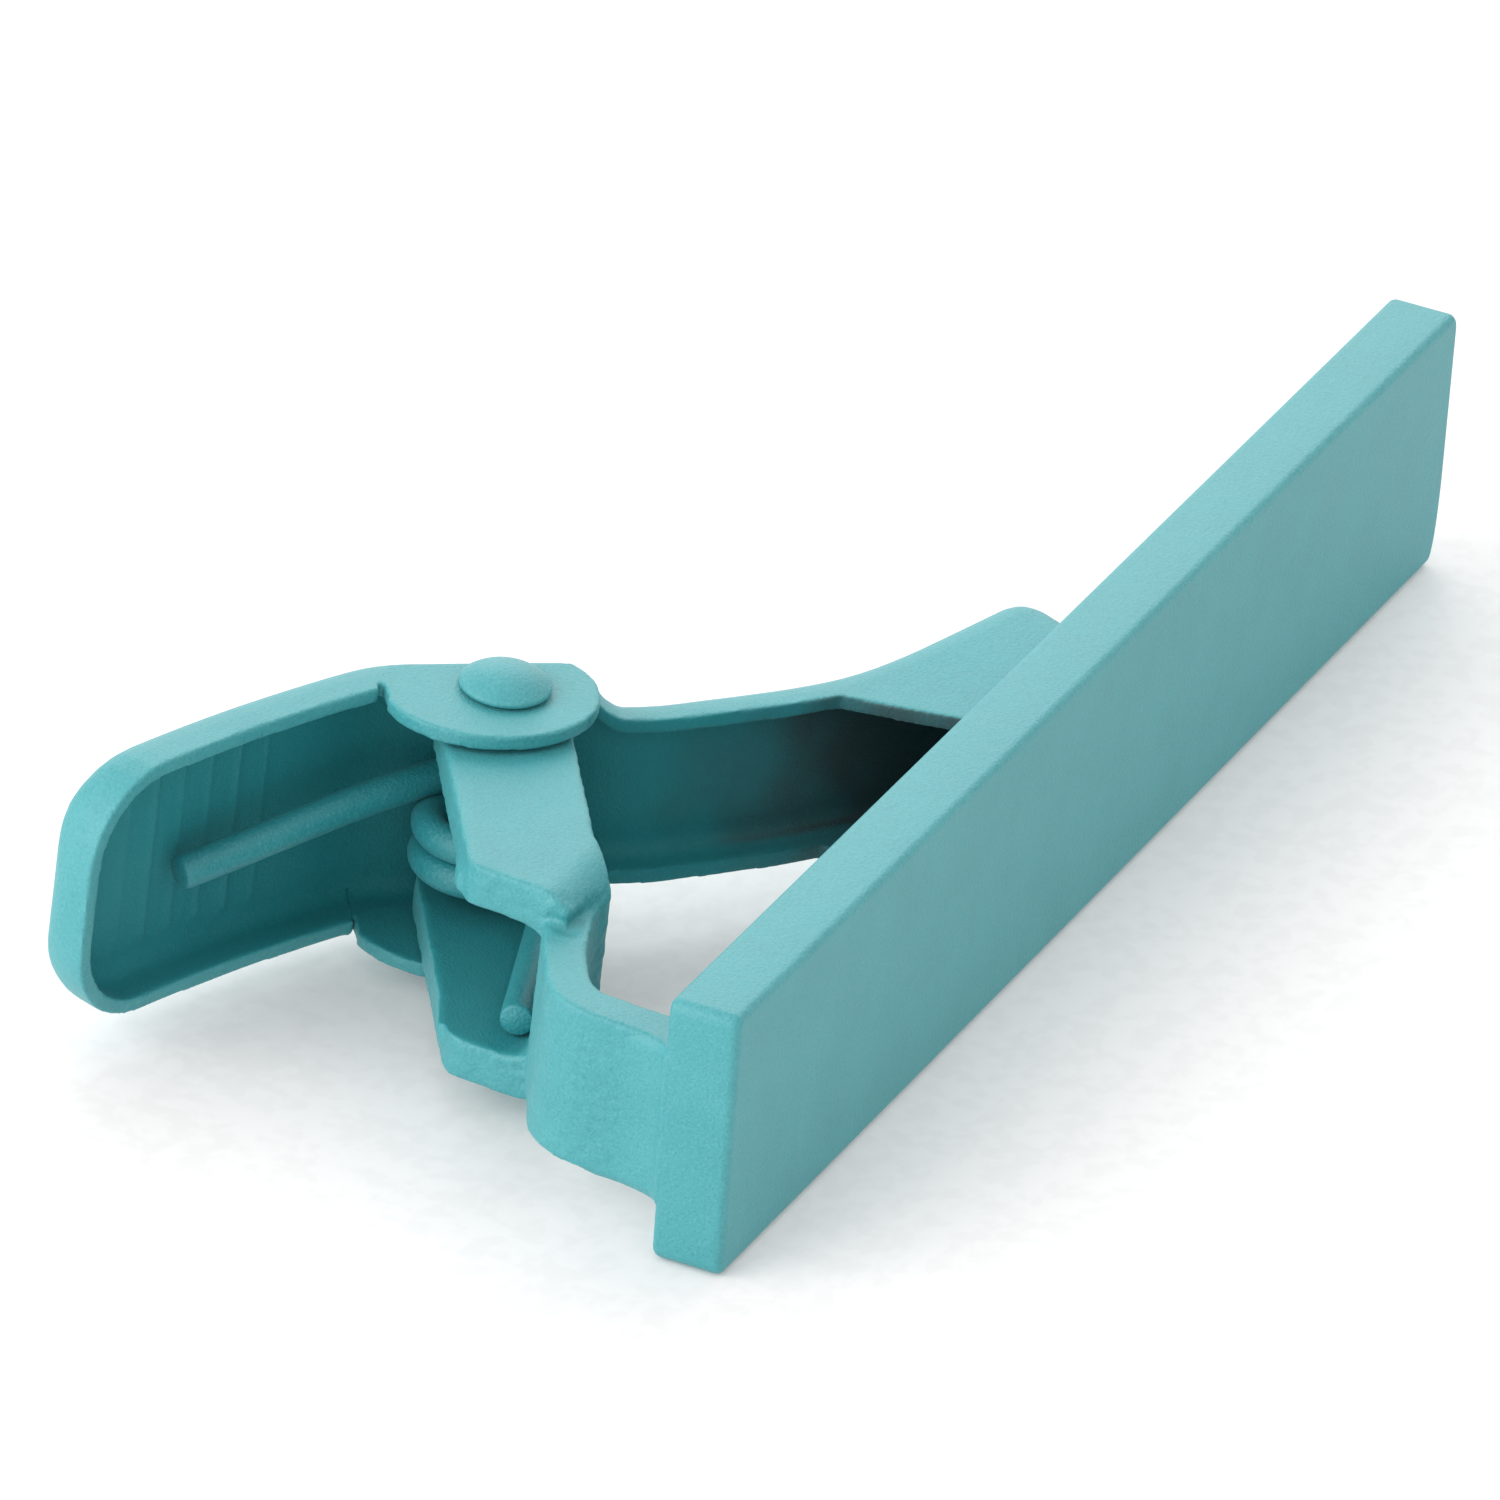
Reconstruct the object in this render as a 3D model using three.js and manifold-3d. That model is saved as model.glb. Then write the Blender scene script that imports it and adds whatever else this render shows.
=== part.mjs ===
// Tie clip: a flat bar with a sprung pinch clasp soldered behind one end.
//
// Millimetres, +Z up.  The group's origin is the centre of the bar's front face: X runs
// along the bar, Y runs from the front face towards the clasp, and Z is the bar's width.
// The pieces are drawn in the bar's own frame, x = 0 at the clasp end and y = 0 on the
// back face, and the outer group moves them all to the origin.
//
// Pieces: bar, solder_fillet, bracket, rivet, torsion_spring and lever.

import * as THREE from 'three';
import { mergeVertices } from 'three/addons/utils/BufferGeometryUtils.js';
import Module from 'manifold-3d';

const wasm = await Module();
wasm.setup();

// ---------------------------------------------------------------- driving dimensions

const bar = { length: 38.1, width: 6.35, thickness: 1.67, cornerRadius: 0.3, edgeBevel: 0.16 };

// The bracket is one strip: foot, J-shaped tongue, web, and two ears that hold the rivet.
const bracket = {
  sheet: 1.0,
  footInset: 0.45,        // bar's end to the foot
  footRise: 2.0,          // straight part of the tongue above the bar
  curlRadius: 1.35,       // mid-sheet radius of the J
  curlAngle: 68,          // degrees turned by the J
  easeRun: 0.7,           // tongue straightening into the web
  webStandoff: 4.3,       // bar's back to the middle of the web
  nearEdge: 3.27,         // bar's end to the ears' near edge
  farEdge: 5.05,          // bar's end to the web's far edge
  tongueHeight: 3.8,
  height: 5.3,            // over the two ears
  outerBend: 1.0,
  innerBend: 0.15,
  earWidth: 2.89,
  earDirection: 32.5,     // degrees from the bar to the ears
  earTip: 0.9,            // ear material beyond the rivet's axis
  tongueInWeb: 0.05,      // where the tongue ends inside the web
  shortestRise: 0.1,      // of the tongue between J and web
};

const solder = { film: 0.12, reach: 0.42, climb: 0.6, overrun: 0.12 };

// The rivet's axis is the clasp's pivot.  The whole clasp is soldered on with a slight lean
// about the bar's length, so that the clip lies flat on its side.
const pivot = { x: 9.66, y: 8.81 };
const claspLean = 3;      // degrees

const rivet = { shankRadius: 0.45, headRadius: 1.03, domeHeight: 0.52, rim: 0.08 };

const fit = {
  shankInEar: 0.02,
  shankInLug: 0.05,
  headOnLug: 0.03,
  earInLever: 0.12,
  jawOffBar: 0.06,
  footOffSolder: 0.05,
  springInLever: 0.07,
};

// The lever is one pressed channel: thumb handle, two lugs, neck and jaw.
const lever = {
  sheet: 0.36,
  bend: 0.8,              // outer radius where the web turns into the flanges
  backDirection: -52,     // heading of the web beside the rivet, degrees
  shoulder: { straight: 1.9, run: 1.5, turn: 25 },
  handle: { run: 8.45, turn: 12, cornerRadius: 2.2, flange: 1.4 },
  throat: { straight: 1.2, run: 1.0, turn: -12 },
  neck: { start: 0.5, bendRun: 2.0, slope: -40, width: 4.2, flange: 1.15, narrowing: 1.5, shortest: 0.5 },
  jaw: { bendRun: 4.6, slope: -21, run: 2.9, tipHeight: 1.85, cornerRadius: 0.6, width: 5.1 },
  cheek: { length: 6.0, rearEdge: 0.22, lead: 2.0, trimReach: 11.5 },
  lug: { along: 2.4, across: 2.05, offset: -0.3, rootInBend: 0.75 },
  notch: { width: 0.16, depth: 0.6 },
  pressOut: 1.0,          // how far the inner block stands past the flanges' edges
};

const spring = {
  wire: 0.76,
  clearance: 0.03,
  shift: 0.6,             // coil's axis lies this far from the rivet's, away from the web
  pitch: 0.78,
  extraTurns: 2,
  floor: 0.06,            // lowest turn above the lower ear
  legInset: 0.75,         // end of the short leg, from the ears' near edge
  longArm: 7.2,
  armDrop: 1.2,
  armLean: -3.8,          // long arm, degrees from the handle's web
};

// How finely round stretches are cut into flats: steps along a sheet in mm, and facet counts.
const step = { lever: 0.45, tongue: 0.25, hair: 0.03, closest: 0.02, trim: 0.5 };
const facets = {
  pin: 32, earTip: 16, stripBend: 8, solder: 6, dome: 7, head: 40, leverBend: 5, leverEnd: 9, lug: 36,
  neck: 6, wire: 5, wirePath: 110,
};

const paintColour = 0x6fb6b6;
const solderColour = 0x68adae;

// ------------------------------------------------------------------ derived dimensions

const leverWidth = bracket.height + 2 * (fit.earInLever + lever.sheet);
const lugTop = leverWidth / 2;
// Rivet's axis to the outer face of the lever's web: the spring's coil passes between them.
const pivotToBack = rivet.shankRadius + spring.clearance + spring.wire + fit.springInLever + lever.sheet;
const degrees = THREE.MathUtils.degToRad;

/** Height of the bar's back face in the leaning clasp's own frame. */
const barFaceAt = (z) => z * Math.tan(degrees(claspLean));

// -------------------------------------------------------------------- geometry helpers

/** Turns a closed three.js geometry into a solid that can be joined and cut. */
function solidOf(geometry) {
  const plain = geometry.clone();
  plain.deleteAttribute('normal');
  plain.deleteAttribute('uv');
  const merged = mergeVertices(plain, 1e-4);
  return new wasm.Manifold(new wasm.Mesh({
    numProp: 3,
    vertProperties: Float32Array.from(merged.attributes.position.array),
    triVerts: Uint32Array.from(merged.index.array),
  }));
}

/** Turns a solid back into a geometry. */
function geometryOf(solid) {
  const mesh = solid.getMesh();
  const geometry = new THREE.BufferGeometry();
  geometry.setAttribute('position', new THREE.BufferAttribute(mesh.vertProperties, 3));
  geometry.setIndex(new THREE.BufferAttribute(mesh.triVerts, 1));
  geometry.computeVertexNormals();
  return geometry;
}

/** A shape in the XY plane, given thickness from z = low to z = high. */
function plate(shape, low, high, curveSegments = 12) {
  const geometry = new THREE.ExtrudeGeometry(shape, {
    depth: high - low, bevelEnabled: false, curveSegments,
  });
  return solidOf(geometry.translate(0, 0, low));
}

/** A round bar along Z, centred on x, y. */
function pin(x, y, radius, low, high) {
  const geometry = new THREE.CylinderGeometry(radius, radius, high - low, facets.pin);
  geometry.rotateX(Math.PI / 2);
  return solidOf(geometry.translate(x, y, (low + high) / 2));
}

/** A closed body through a row of convex outlines that all have the same number of points. */
function loft(outlines) {
  const sides = outlines[0].length;
  const last = (outlines.length - 1) * sides;
  const index = [];
  for (let start = 0; start < last; start += sides) {
    for (let side = 0; side < sides; side += 1) {
      const a = start + side;
      const b = start + (side + 1) % sides;
      index.push(a, b, b + sides, a, b + sides, a + sides);
    }
  }
  for (let side = 1; side + 1 < sides; side += 1) {
    index.push(0, side + 1, side, last, last + side, last + side + 1);
  }
  const geometry = new THREE.BufferGeometry();
  geometry.setAttribute('position', new THREE.Float32BufferAttribute(
    outlines.flat().flatMap((point) => point.toArray()), 3));
  geometry.setIndex(index);
  return solidOf(geometry);
}

/**
 * Walks a sheet's edge line: from a point and heading, each leg runs a length while turning
 * evenly.  Returns points with their heading and their distance along the walk.
 */
function walk(x, y, heading, legs, stride = step.lever) {
  const stations = [{ x, y, heading, along: 0 }];
  for (const { run, turn = 0 } of legs) {
    const steps = turn === 0 ? 1 : Math.max(2, Math.ceil(run / stride));
    for (let count = 0; count < steps; count += 1) {
      const from = stations.at(-1);
      const middle = degrees(from.heading + turn / steps / 2);
      stations.push({
        x: from.x + (run / steps) * Math.cos(middle),
        y: from.y + (run / steps) * Math.sin(middle),
        heading: from.heading + turn / steps,
        along: from.along + run / steps,
      });
    }
  }
  return stations;
}

/** How far a quarter round of a given radius has fallen back, at a distance from its edge. */
function fallBack(radius, distance) {
  if (distance >= radius) return 0;
  return radius - Math.sqrt(radius ** 2 - (radius - Math.max(distance, 0)) ** 2);
}

function painted(name, geometry, colour = paintColour) {
  const material = new THREE.MeshStandardMaterial({ color: colour, roughness: 0.62, metalness: 0 });
  const mesh = new THREE.Mesh(geometry, material);
  mesh.name = name;
  return mesh;
}

// ------------------------------------------------------------------------------- bar

function makeBar() {
  const { length, width, thickness, cornerRadius: r, edgeBevel } = bar;
  const face = new THREE.Shape();
  face.moveTo(r, -width / 2);
  face.absarc(length - r, -width / 2 + r, r, -Math.PI / 2, 0);
  face.absarc(length - r, width / 2 - r, r, 0, Math.PI / 2);
  face.absarc(r, width / 2 - r, r, Math.PI / 2, Math.PI);
  face.absarc(r, -width / 2 + r, r, Math.PI, Math.PI * 1.5);
  const geometry = new THREE.ExtrudeGeometry(face, {
    depth: thickness - 2 * edgeBevel,
    bevelThickness: edgeBevel,
    bevelSize: edgeBevel,
    bevelOffset: -edgeBevel,
    bevelSegments: 2,
    curveSegments: 4,
  });
  geometry.rotateX(Math.PI / 2).translate(0, -edgeBevel, 0);
  return painted('bar', geometryOf(solidOf(geometry)));
}

// --------------------------------------------------------------------------- bracket

/** The J-shaped tongue from the solder to the web, as one outline. */
function tongueShape() {
  const { sheet, footInset, footRise, curlRadius, curlAngle, webStandoff, farEdge, easeRun } = bracket;
  const { tongueInWeb, shortestRise } = bracket;
  const slope = degrees(90 - curlAngle);
  const footMiddle = footInset + sheet / 2;
  const curlTop = footRise + curlRadius * Math.cos(slope);
  const easeRise = (easeRun / slope) * (1 - Math.cos(slope));
  const middle = walk(footMiddle, 0, 90, [
    { run: footRise },
    { run: curlRadius * degrees(curlAngle), turn: -curlAngle },
    { run: Math.max((webStandoff - curlTop - easeRise) / Math.sin(slope), shortestRise) },
    { run: easeRun, turn: curlAngle - 90 },
  ], step.tongue);
  const end = { x: farEdge - tongueInWeb, y: webStandoff, heading: 0 };
  while (middle.at(-1).x > end.x - tongueInWeb) middle.pop();
  middle.push(end);
  const offset = ({ x, y, heading }, side) => new THREE.Vector2(
    x - side * Math.sin(degrees(heading)) * sheet / 2,
    y + side * Math.cos(degrees(heading)) * sheet / 2,
  );
  return new THREE.Shape([
    ...middle.map((station) => offset(station, -1)),
    ...middle.map((station) => offset(station, 1)).reverse(),
  ]);
}

/** The ears and the web as seen along the rivet. */
function earPlan() {
  const { sheet, webStandoff, nearEdge, farEdge, earWidth, earDirection, earTip } = bracket;
  const heading = degrees(earDirection);
  const ahead = new THREE.Vector2(Math.cos(heading), Math.sin(heading));
  const left = new THREE.Vector2(-ahead.y, ahead.x);
  const axis = new THREE.Vector2(pivot.x, pivot.y);
  const place = (along, aside) => axis.clone().addScaledVector(ahead, along).addScaledVector(left, aside);
  const webBack = webStandoff + sheet / 2;
  const webFront = webStandoff - sheet / 2;
  const nearCorner = (nearEdge - place(0, earWidth / 2).x) / ahead.x;
  const rightFoot = (webBack - place(0, -earWidth / 2).y) / ahead.y;
  const tip = new THREE.EllipseCurve(axis.x, axis.y, earTip, earWidth / 2,
    -Math.PI / 2, Math.PI / 2, false, heading).getPoints(facets.earTip);
  return new THREE.Shape([
    new THREE.Vector2(nearEdge, webFront),
    new THREE.Vector2(farEdge, webFront),
    place(rightFoot, -earWidth / 2),
    ...tip,
    place(nearCorner, earWidth / 2),
  ]);
}

/** The bent strip seen along the bar: web and two ears, with round corners. */
function channelShape(reach) {
  const { sheet, webStandoff, height, outerBend, innerBend } = bracket;
  const front = webStandoff - sheet / 2;
  const back = webStandoff + sheet / 2;
  const outer = height / 2;
  const inner = outer - sheet;
  const shape = new THREE.Shape();
  shape.moveTo(reach, -outer);
  shape.lineTo(reach, -inner);
  shape.absarc(back + innerBend, -inner + innerBend, innerBend, -Math.PI / 2, Math.PI, true);
  shape.absarc(back + innerBend, inner - innerBend, innerBend, Math.PI, Math.PI / 2, true);
  shape.lineTo(reach, inner);
  shape.lineTo(reach, outer);
  shape.absarc(front + outerBend, outer - outerBend, outerBend, Math.PI / 2, Math.PI);
  shape.absarc(front + outerBend, -outer + outerBend, outerBend, Math.PI, Math.PI * 1.5);
  return shape;
}

function makeBracket() {
  const reach = pivot.y + bracket.earWidth;
  const span = pivot.x + bracket.earWidth;
  const channelGeometry = new THREE.ExtrudeGeometry(channelShape(reach), {
    depth: span, bevelEnabled: false, curveSegments: facets.stripBend,
  });
  // Shape x, y and depth become Y, Z and X.
  const turn = new THREE.Matrix4().makeBasis(
    new THREE.Vector3(0, 1, 0), new THREE.Vector3(0, 0, 1), new THREE.Vector3(1, 0, 0),
  );
  const channel = solidOf(channelGeometry.applyMatrix4(turn));
  const ears = channel.intersect(plate(earPlan(), -bracket.height / 2, bracket.height / 2));
  const tongue = plate(tongueShape(), -bracket.tongueHeight / 2, bracket.tongueHeight / 2);
  const footTrim = new THREE.BoxGeometry(span * 2, 2, bracket.height * 2);
  footTrim.translate(0, solder.film + fit.footOffSolder - 1, 0).rotateX(degrees(-claspLean));
  const hole = pin(pivot.x, pivot.y, rivet.shankRadius + fit.shankInEar, -bracket.height, bracket.height);
  return painted('bracket', geometryOf(ears.add(tongue).subtract(hole).subtract(solidOf(footTrim))));
}

// ---------------------------------------------------------------------- solder fillet

function makeSolderFillet() {
  const { film, reach, climb, overrun } = solder;
  const near = bracket.footInset - fit.footOffSolder;
  const far = bracket.footInset + bracket.sheet + fit.footOffSolder;
  const shape = new THREE.Shape();
  shape.moveTo(near - reach, 0);
  shape.lineTo(far + reach, 0);
  shape.quadraticCurveTo(far + reach * 0.25, climb * 0.25, far, film + climb);
  shape.lineTo(far, film);
  shape.lineTo(near, film);
  shape.lineTo(near, film + climb);
  shape.quadraticCurveTo(near - reach * 0.25, climb * 0.25, near - reach, 0);
  const half = bracket.tongueHeight / 2 + overrun;
  return painted('solder_fillet', geometryOf(plate(shape, -half, half, facets.solder)), solderColour);
}

// ------------------------------------------------------------------------------ rivet

function makeRivet() {
  const { shankRadius, headRadius, domeHeight, rim } = rivet;
  const seat = lugTop + fit.headOnLug;
  const crown = (headRadius ** 2 + (domeHeight - rim) ** 2) / (2 * (domeHeight - rim));
  const profile = [new THREE.Vector2(shankRadius, seat), new THREE.Vector2(headRadius, seat)];
  for (let count = 0; count < facets.dome; count += 1) {
    const radius = headRadius * Math.cos((count / facets.dome) * Math.PI / 2);
    const height = Math.sqrt(crown ** 2 - radius ** 2) - (crown - domeHeight);
    profile.push(new THREE.Vector2(radius, seat + height));
  }
  profile.push(new THREE.Vector2(0, seat + domeHeight));
  const mirrored = profile.map(({ x, y }) => new THREE.Vector2(x, -y)).reverse();
  const geometry = new THREE.LatheGeometry([...mirrored, ...profile], facets.head);
  geometry.rotateX(Math.PI / 2).translate(pivot.x, pivot.y, 0);
  return painted('rivet', geometryOf(solidOf(geometry)));
}

// ------------------------------------------------------------------------------ lever

/** The web's outer face as seen along the rivet, from the handle's end to the jaw's tip. */
function leverLine() {
  const { backDirection, shoulder, handle, throat, neck, jaw } = lever;
  const normal = degrees(backDirection + 90);
  const beside = {
    x: pivot.x + pivotToBack * Math.cos(normal),
    y: pivot.y + pivotToBack * Math.sin(normal),
  };
  const backwards = walk(beside.x, beside.y, backDirection + 180, [
    { run: shoulder.straight },
    { run: shoulder.run, turn: shoulder.turn },
    { run: handle.run, turn: handle.turn },
  ]);
  const ahead = walk(beside.x, beside.y, backDirection, [
    { run: throat.straight },
    { run: throat.run, turn: throat.turn },
    { run: neck.bendRun, turn: neck.slope - backDirection - throat.turn },
  ]);
  const jawLegs = [{ run: jaw.bendRun, turn: jaw.slope - neck.slope }, { run: jaw.run }];
  const jawLine = walk(0, 0, neck.slope, jawLegs);
  const drop = ahead.at(-1).y - jaw.tipHeight + jawLine.at(-1).y;
  const neckRun = Math.max(drop / Math.sin(degrees(-neck.slope)), neck.shortest);
  const front = walk(ahead.at(-1).x, ahead.at(-1).y, neck.slope, [{ run: neckRun }, ...jawLegs]);
  const reversed = backwards.slice(1).reverse().map((station) => (
    { ...station, heading: station.heading - 180, along: -station.along }));
  const start = ahead.at(-1).along;
  const joined = [
    ...reversed, ...ahead, ...front.slice(1).map((station) => ({ ...station, along: station.along + start })),
  ];
  const first = joined[0].along;
  return joined.map((station) => ({ ...station, along: station.along - first }));
}

/** A point at a distance along the line, with its heading. */
function stationAt(line, along) {
  const next = line.findIndex((station) => station.along >= along - 1e-9);
  if (next <= 0) return next === 0 ? line[0] : extendedPast(line.at(-1), along);
  const a = line[next - 1];
  const b = line[next];
  const share = (along - a.along) / (b.along - a.along);
  const between = (key) => a[key] + (b[key] - a[key]) * share;
  return { x: between('x'), y: between('y'), heading: between('heading'), along };
}

function extendedPast(end, along) {
  const extra = along - end.along;
  const heading = degrees(end.heading);
  return {
    x: end.x + extra * Math.cos(heading), y: end.y + extra * Math.sin(heading), heading: end.heading, along,
  };
}

/** Half the lever's width at a distance along the line. */
function halfWidthAt(along, marks) {
  const { handle, neck, jaw } = lever;
  const corner = fallBack(handle.cornerRadius, along) + fallBack(jaw.cornerRadius, marks.tip - along);
  const narrowed = THREE.MathUtils.smootherstep(along, marks.neckStart, marks.neckStart + neck.narrowing);
  const widened = THREE.MathUtils.smoothstep(along, marks.jawStart, marks.tip);
  const width = THREE.MathUtils.lerp(leverWidth, neck.width, narrowed) + (jaw.width - neck.width) * widened;
  return width / 2 - corner;
}

/** An upright section of the lever's block: flat towards the inside, round at the web. */
function channelSection(station, halfWidth, back, depth, bend) {
  const heading = degrees(station.heading);
  const inward = new THREE.Vector3(Math.sin(heading), -Math.cos(heading), 0);
  const origin = new THREE.Vector3(station.x, station.y, 0);
  const place = (inside, z) => origin.clone().addScaledVector(inward, inside).setZ(z);
  const outline = [place(depth, -halfWidth)];
  const radius = Math.min(bend, halfWidth * 0.9, depth - back);
  for (const side of [-1, 1]) {
    for (let count = 0; count <= facets.leverBend; count += 1) {
      const share = side < 0 ? count / facets.leverBend : 1 - count / facets.leverBend;
      const angle = share * Math.PI / 2;
      outline.push(place(
        back + radius * (1 - Math.sin(angle)),
        side * (halfWidth - radius * (1 - Math.cos(angle))),
      ));
    }
  }
  outline.push(place(depth, halfWidth));
  return outline;
}

/** Distances from a round end of a given reach, close together where the outline turns fastest. */
function endStops(reach, count) {
  return Array.from({ length: count + 1 }, (_, place) => reach * (place / count) ** 2);
}

/** Distances along the line at which the channel gets a section. */
function sectionStops(line, marks, from, to) {
  const { handle, jaw, bend, neck } = lever;
  const round = endStops(handle.cornerRadius, facets.leverEnd).map((reach) => from + reach);
  const tip = endStops(Math.max(jaw.cornerRadius, bend), facets.leverBend).map((reach) => to - reach);
  const narrowing = Array.from({ length: facets.neck + 1 }, (_, place) => (
    marks.neckStart + neck.narrowing * place / facets.neck));
  const deep = [marks.deepStart, marks.deepStart + step.hair];
  const stops = [...line.map(({ along }) => along), ...round, ...tip, ...narrowing, ...deep];
  const kept = [...new Set(stops)].filter((stop) => stop >= from && stop <= to).sort((a, b) => a - b);
  return kept.filter((stop, place) => place === 0 || stop - kept[place - 1] > step.closest);
}

/** The pressed channel without its lugs; the jaw's flanges are left deep enough to trim. */
function leverChannel(line, marks) {
  const { sheet, bend, handle, neck, jaw, pressOut } = lever;
  const untrimmed = jaw.tipHeight + neck.flange * 3;
  const depthAt = (along) => {
    if (along > marks.deepStart) return untrimmed;
    const share = THREE.MathUtils.smoothstep(along, marks.neckStart, marks.neckStart + neck.narrowing);
    return THREE.MathUtils.lerp(handle.flange, neck.flange, share);
  };
  const ends = (along, radius) => Math.max(fallBack(radius, along), fallBack(radius, marks.tip - along));
  const outside = sectionStops(line, marks, 0, marks.tip).map((along) => channelSection(
    stationAt(line, along), halfWidthAt(along, marks), ends(along, bend), depthAt(along), bend));
  const inset = (along) => Math.max(
    fallBack(handle.cornerRadius - sheet, along - sheet) - fallBack(handle.cornerRadius, along),
    fallBack(jaw.cornerRadius - sheet, marks.tip - sheet - along)
      - fallBack(jaw.cornerRadius, marks.tip - along),
    0);
  const inside = sectionStops(line, marks, sheet, marks.tip - sheet).map((along) => channelSection(
    stationAt(line, along),
    halfWidthAt(along, marks) - sheet - inset(along),
    sheet + Math.max(
      fallBack(bend - sheet, along - sheet), fallBack(bend - sheet, marks.tip - sheet - along)),
    depthAt(along) + pressOut,
    bend - sheet));
  return loft(outside).subtract(loft(inside));
}

/** What is cut from the deep flanges: the part behind the cheeks' rear edges. */
function rearTrim(line, marks) {
  const { neck, cheek } = lever;
  const below = ({ x, y, heading }) => new THREE.Vector2(
    x + neck.flange * Math.sin(degrees(heading)), y - neck.flange * Math.cos(degrees(heading)));
  const count = Math.ceil(cheek.lead / step.trim) + 1;
  const edge = Array.from({ length: count + 1 }, (_, place) => (
    below(stationAt(line, marks.jawStart - (count - place) * step.trim))));
  const corner = edge.at(-1);
  const floor = -lever.jaw.tipHeight * 2;
  const shape = new THREE.Shape([
    ...edge,
    new THREE.Vector2(corner.x + cheek.rearEdge * (corner.y - floor), floor),
    new THREE.Vector2(edge[0].x - cheek.trimReach, floor),
  ]);
  return plate(shape, -leverWidth, leverWidth);
}

/** What is cut from the jaw so that its free edges lie along the bar. */
function barTrim() {
  const block = new THREE.BoxGeometry(bar.length * 2, bar.width, bar.width * 3);
  block.translate(0, fit.jawOffBar - bar.width / 2, 0).rotateX(degrees(-claspLean));
  return solidOf(block);
}

/** A lug as seen along the rivet: most of an ellipse, flat where it meets the web's bend. */
function lugShape() {
  const { along, across, offset } = lever.lug;
  const heading = degrees(lever.backDirection);
  const ahead = new THREE.Vector2(Math.cos(heading), Math.sin(heading));
  const outward = new THREE.Vector2(-ahead.y, ahead.x);
  const flat = pivotToBack - lever.bend * lever.lug.rootInBend;
  const start = Math.asin(flat / across);
  const points = [];
  for (let count = 0; count <= facets.lug; count += 1) {
    const angle = start - (Math.PI + 2 * start) * (count / facets.lug);
    points.push(new THREE.Vector2(pivot.x, pivot.y)
      .addScaledVector(ahead, offset + along * Math.cos(angle))
      .addScaledVector(outward, across * Math.sin(angle)));
  }
  return new THREE.Shape(points.reverse());
}

function makeLever() {
  const { sheet, notch, lug, backDirection, cheek, neck } = lever;
  const line = leverLine();
  const beside = line.reduce((best, station) => (
    Math.hypot(station.x - pivot.x, station.y - pivot.y)
      < Math.hypot(best.x - pivot.x, best.y - pivot.y) ? station : best));
  const tip = line.at(-1).along;
  const marks = {
    neckStart: beside.along + lug.along + lug.offset - neck.start,
    deepStart: tip - cheek.length - cheek.lead,
    jawStart: tip - cheek.length,
    tip,
  };
  let solid = leverChannel(line, marks);
  for (const low of [-lugTop, lugTop - sheet]) {
    solid = solid.add(plate(lugShape(), low, low + sheet, 1));
  }
  const hole = pin(pivot.x, pivot.y, rivet.shankRadius + fit.shankInLug, -leverWidth, leverWidth);
  const cut = new THREE.BoxGeometry(notch.width, notch.depth, leverWidth * 1.2);
  cut.translate(lug.offset - lug.along, 0, 0);
  cut.rotateZ(degrees(backDirection)).translate(pivot.x, pivot.y, 0);
  for (const tool of [hole, solidOf(cut), rearTrim(line, marks), barTrim()]) {
    solid = solid.subtract(tool);
  }
  return painted('lever', geometryOf(solid));
}

// ----------------------------------------------------------------------------- spring

/** The spring's wire: short leg on the bracket, coil round the rivet, long arm on the handle. */
class SpringPath extends THREE.Curve {
  constructor() {
    super();
    const { wire, clearance, shift, pitch, extraTurns, floor } = spring;
    const away = degrees(lever.backDirection - 90);
    this.radius = rivet.shankRadius + shift + clearance + wire / 2;
    this.centre = new THREE.Vector2(pivot.x + shift * Math.cos(away), pivot.y + shift * Math.sin(away));
    this.bottom = -bracket.height / 2 + bracket.sheet + floor + wire / 2;
    this.legAngle = this.tangentAngle(new THREE.Vector2(
      bracket.nearEdge + spring.legInset, bracket.webStandoff + bracket.sheet / 2 + wire / 2 + clearance), -1);
    this.armAngle = degrees(lever.backDirection + lever.shoulder.turn + spring.armLean + 90);
    const sweep = THREE.MathUtils.euclideanModulo(this.armAngle - this.legAngle, 2 * Math.PI);
    this.sweep = sweep + extraTurns * 2 * Math.PI;
    this.top = this.bottom + pitch * this.sweep / (2 * Math.PI);
    this.legLength = this.reach;
    this.coilLength = this.sweep * this.radius;
    this.total = this.legLength + this.coilLength + spring.longArm;
  }

  /** The angle on the coil whose tangent passes through a point. */
  tangentAngle(point, side) {
    const offset = point.clone().sub(this.centre);
    this.reach = Math.sqrt(offset.lengthSq() - this.radius ** 2);
    return offset.angle() - side * Math.acos(this.radius / offset.length());
  }

  onCoil(angle, z) {
    return new THREE.Vector3(
      this.centre.x + this.radius * Math.cos(angle), this.centre.y + this.radius * Math.sin(angle), z);
  }

  getPoint(share, target = new THREE.Vector3()) {
    const along = share * this.total;
    if (along < this.legLength) {
      const tangent = new THREE.Vector3(-Math.sin(this.legAngle), Math.cos(this.legAngle), 0);
      return target.copy(this.onCoil(this.legAngle, this.bottom))
        .addScaledVector(tangent, along - this.legLength);
    }
    const wound = Math.min((along - this.legLength) / this.coilLength, 1);
    const angle = this.legAngle + this.sweep * wound;
    target.copy(this.onCoil(angle, THREE.MathUtils.lerp(this.bottom, this.top, wound)));
    const past = Math.max(along - this.legLength - this.coilLength, 0);
    const tangent = new THREE.Vector3(-Math.sin(angle), Math.cos(angle), 0);
    target.addScaledVector(tangent, past);
    target.z -= spring.armDrop * THREE.MathUtils.smoothstep(past, 0, spring.longArm * 1.4);
    return target;
  }
}

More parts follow.
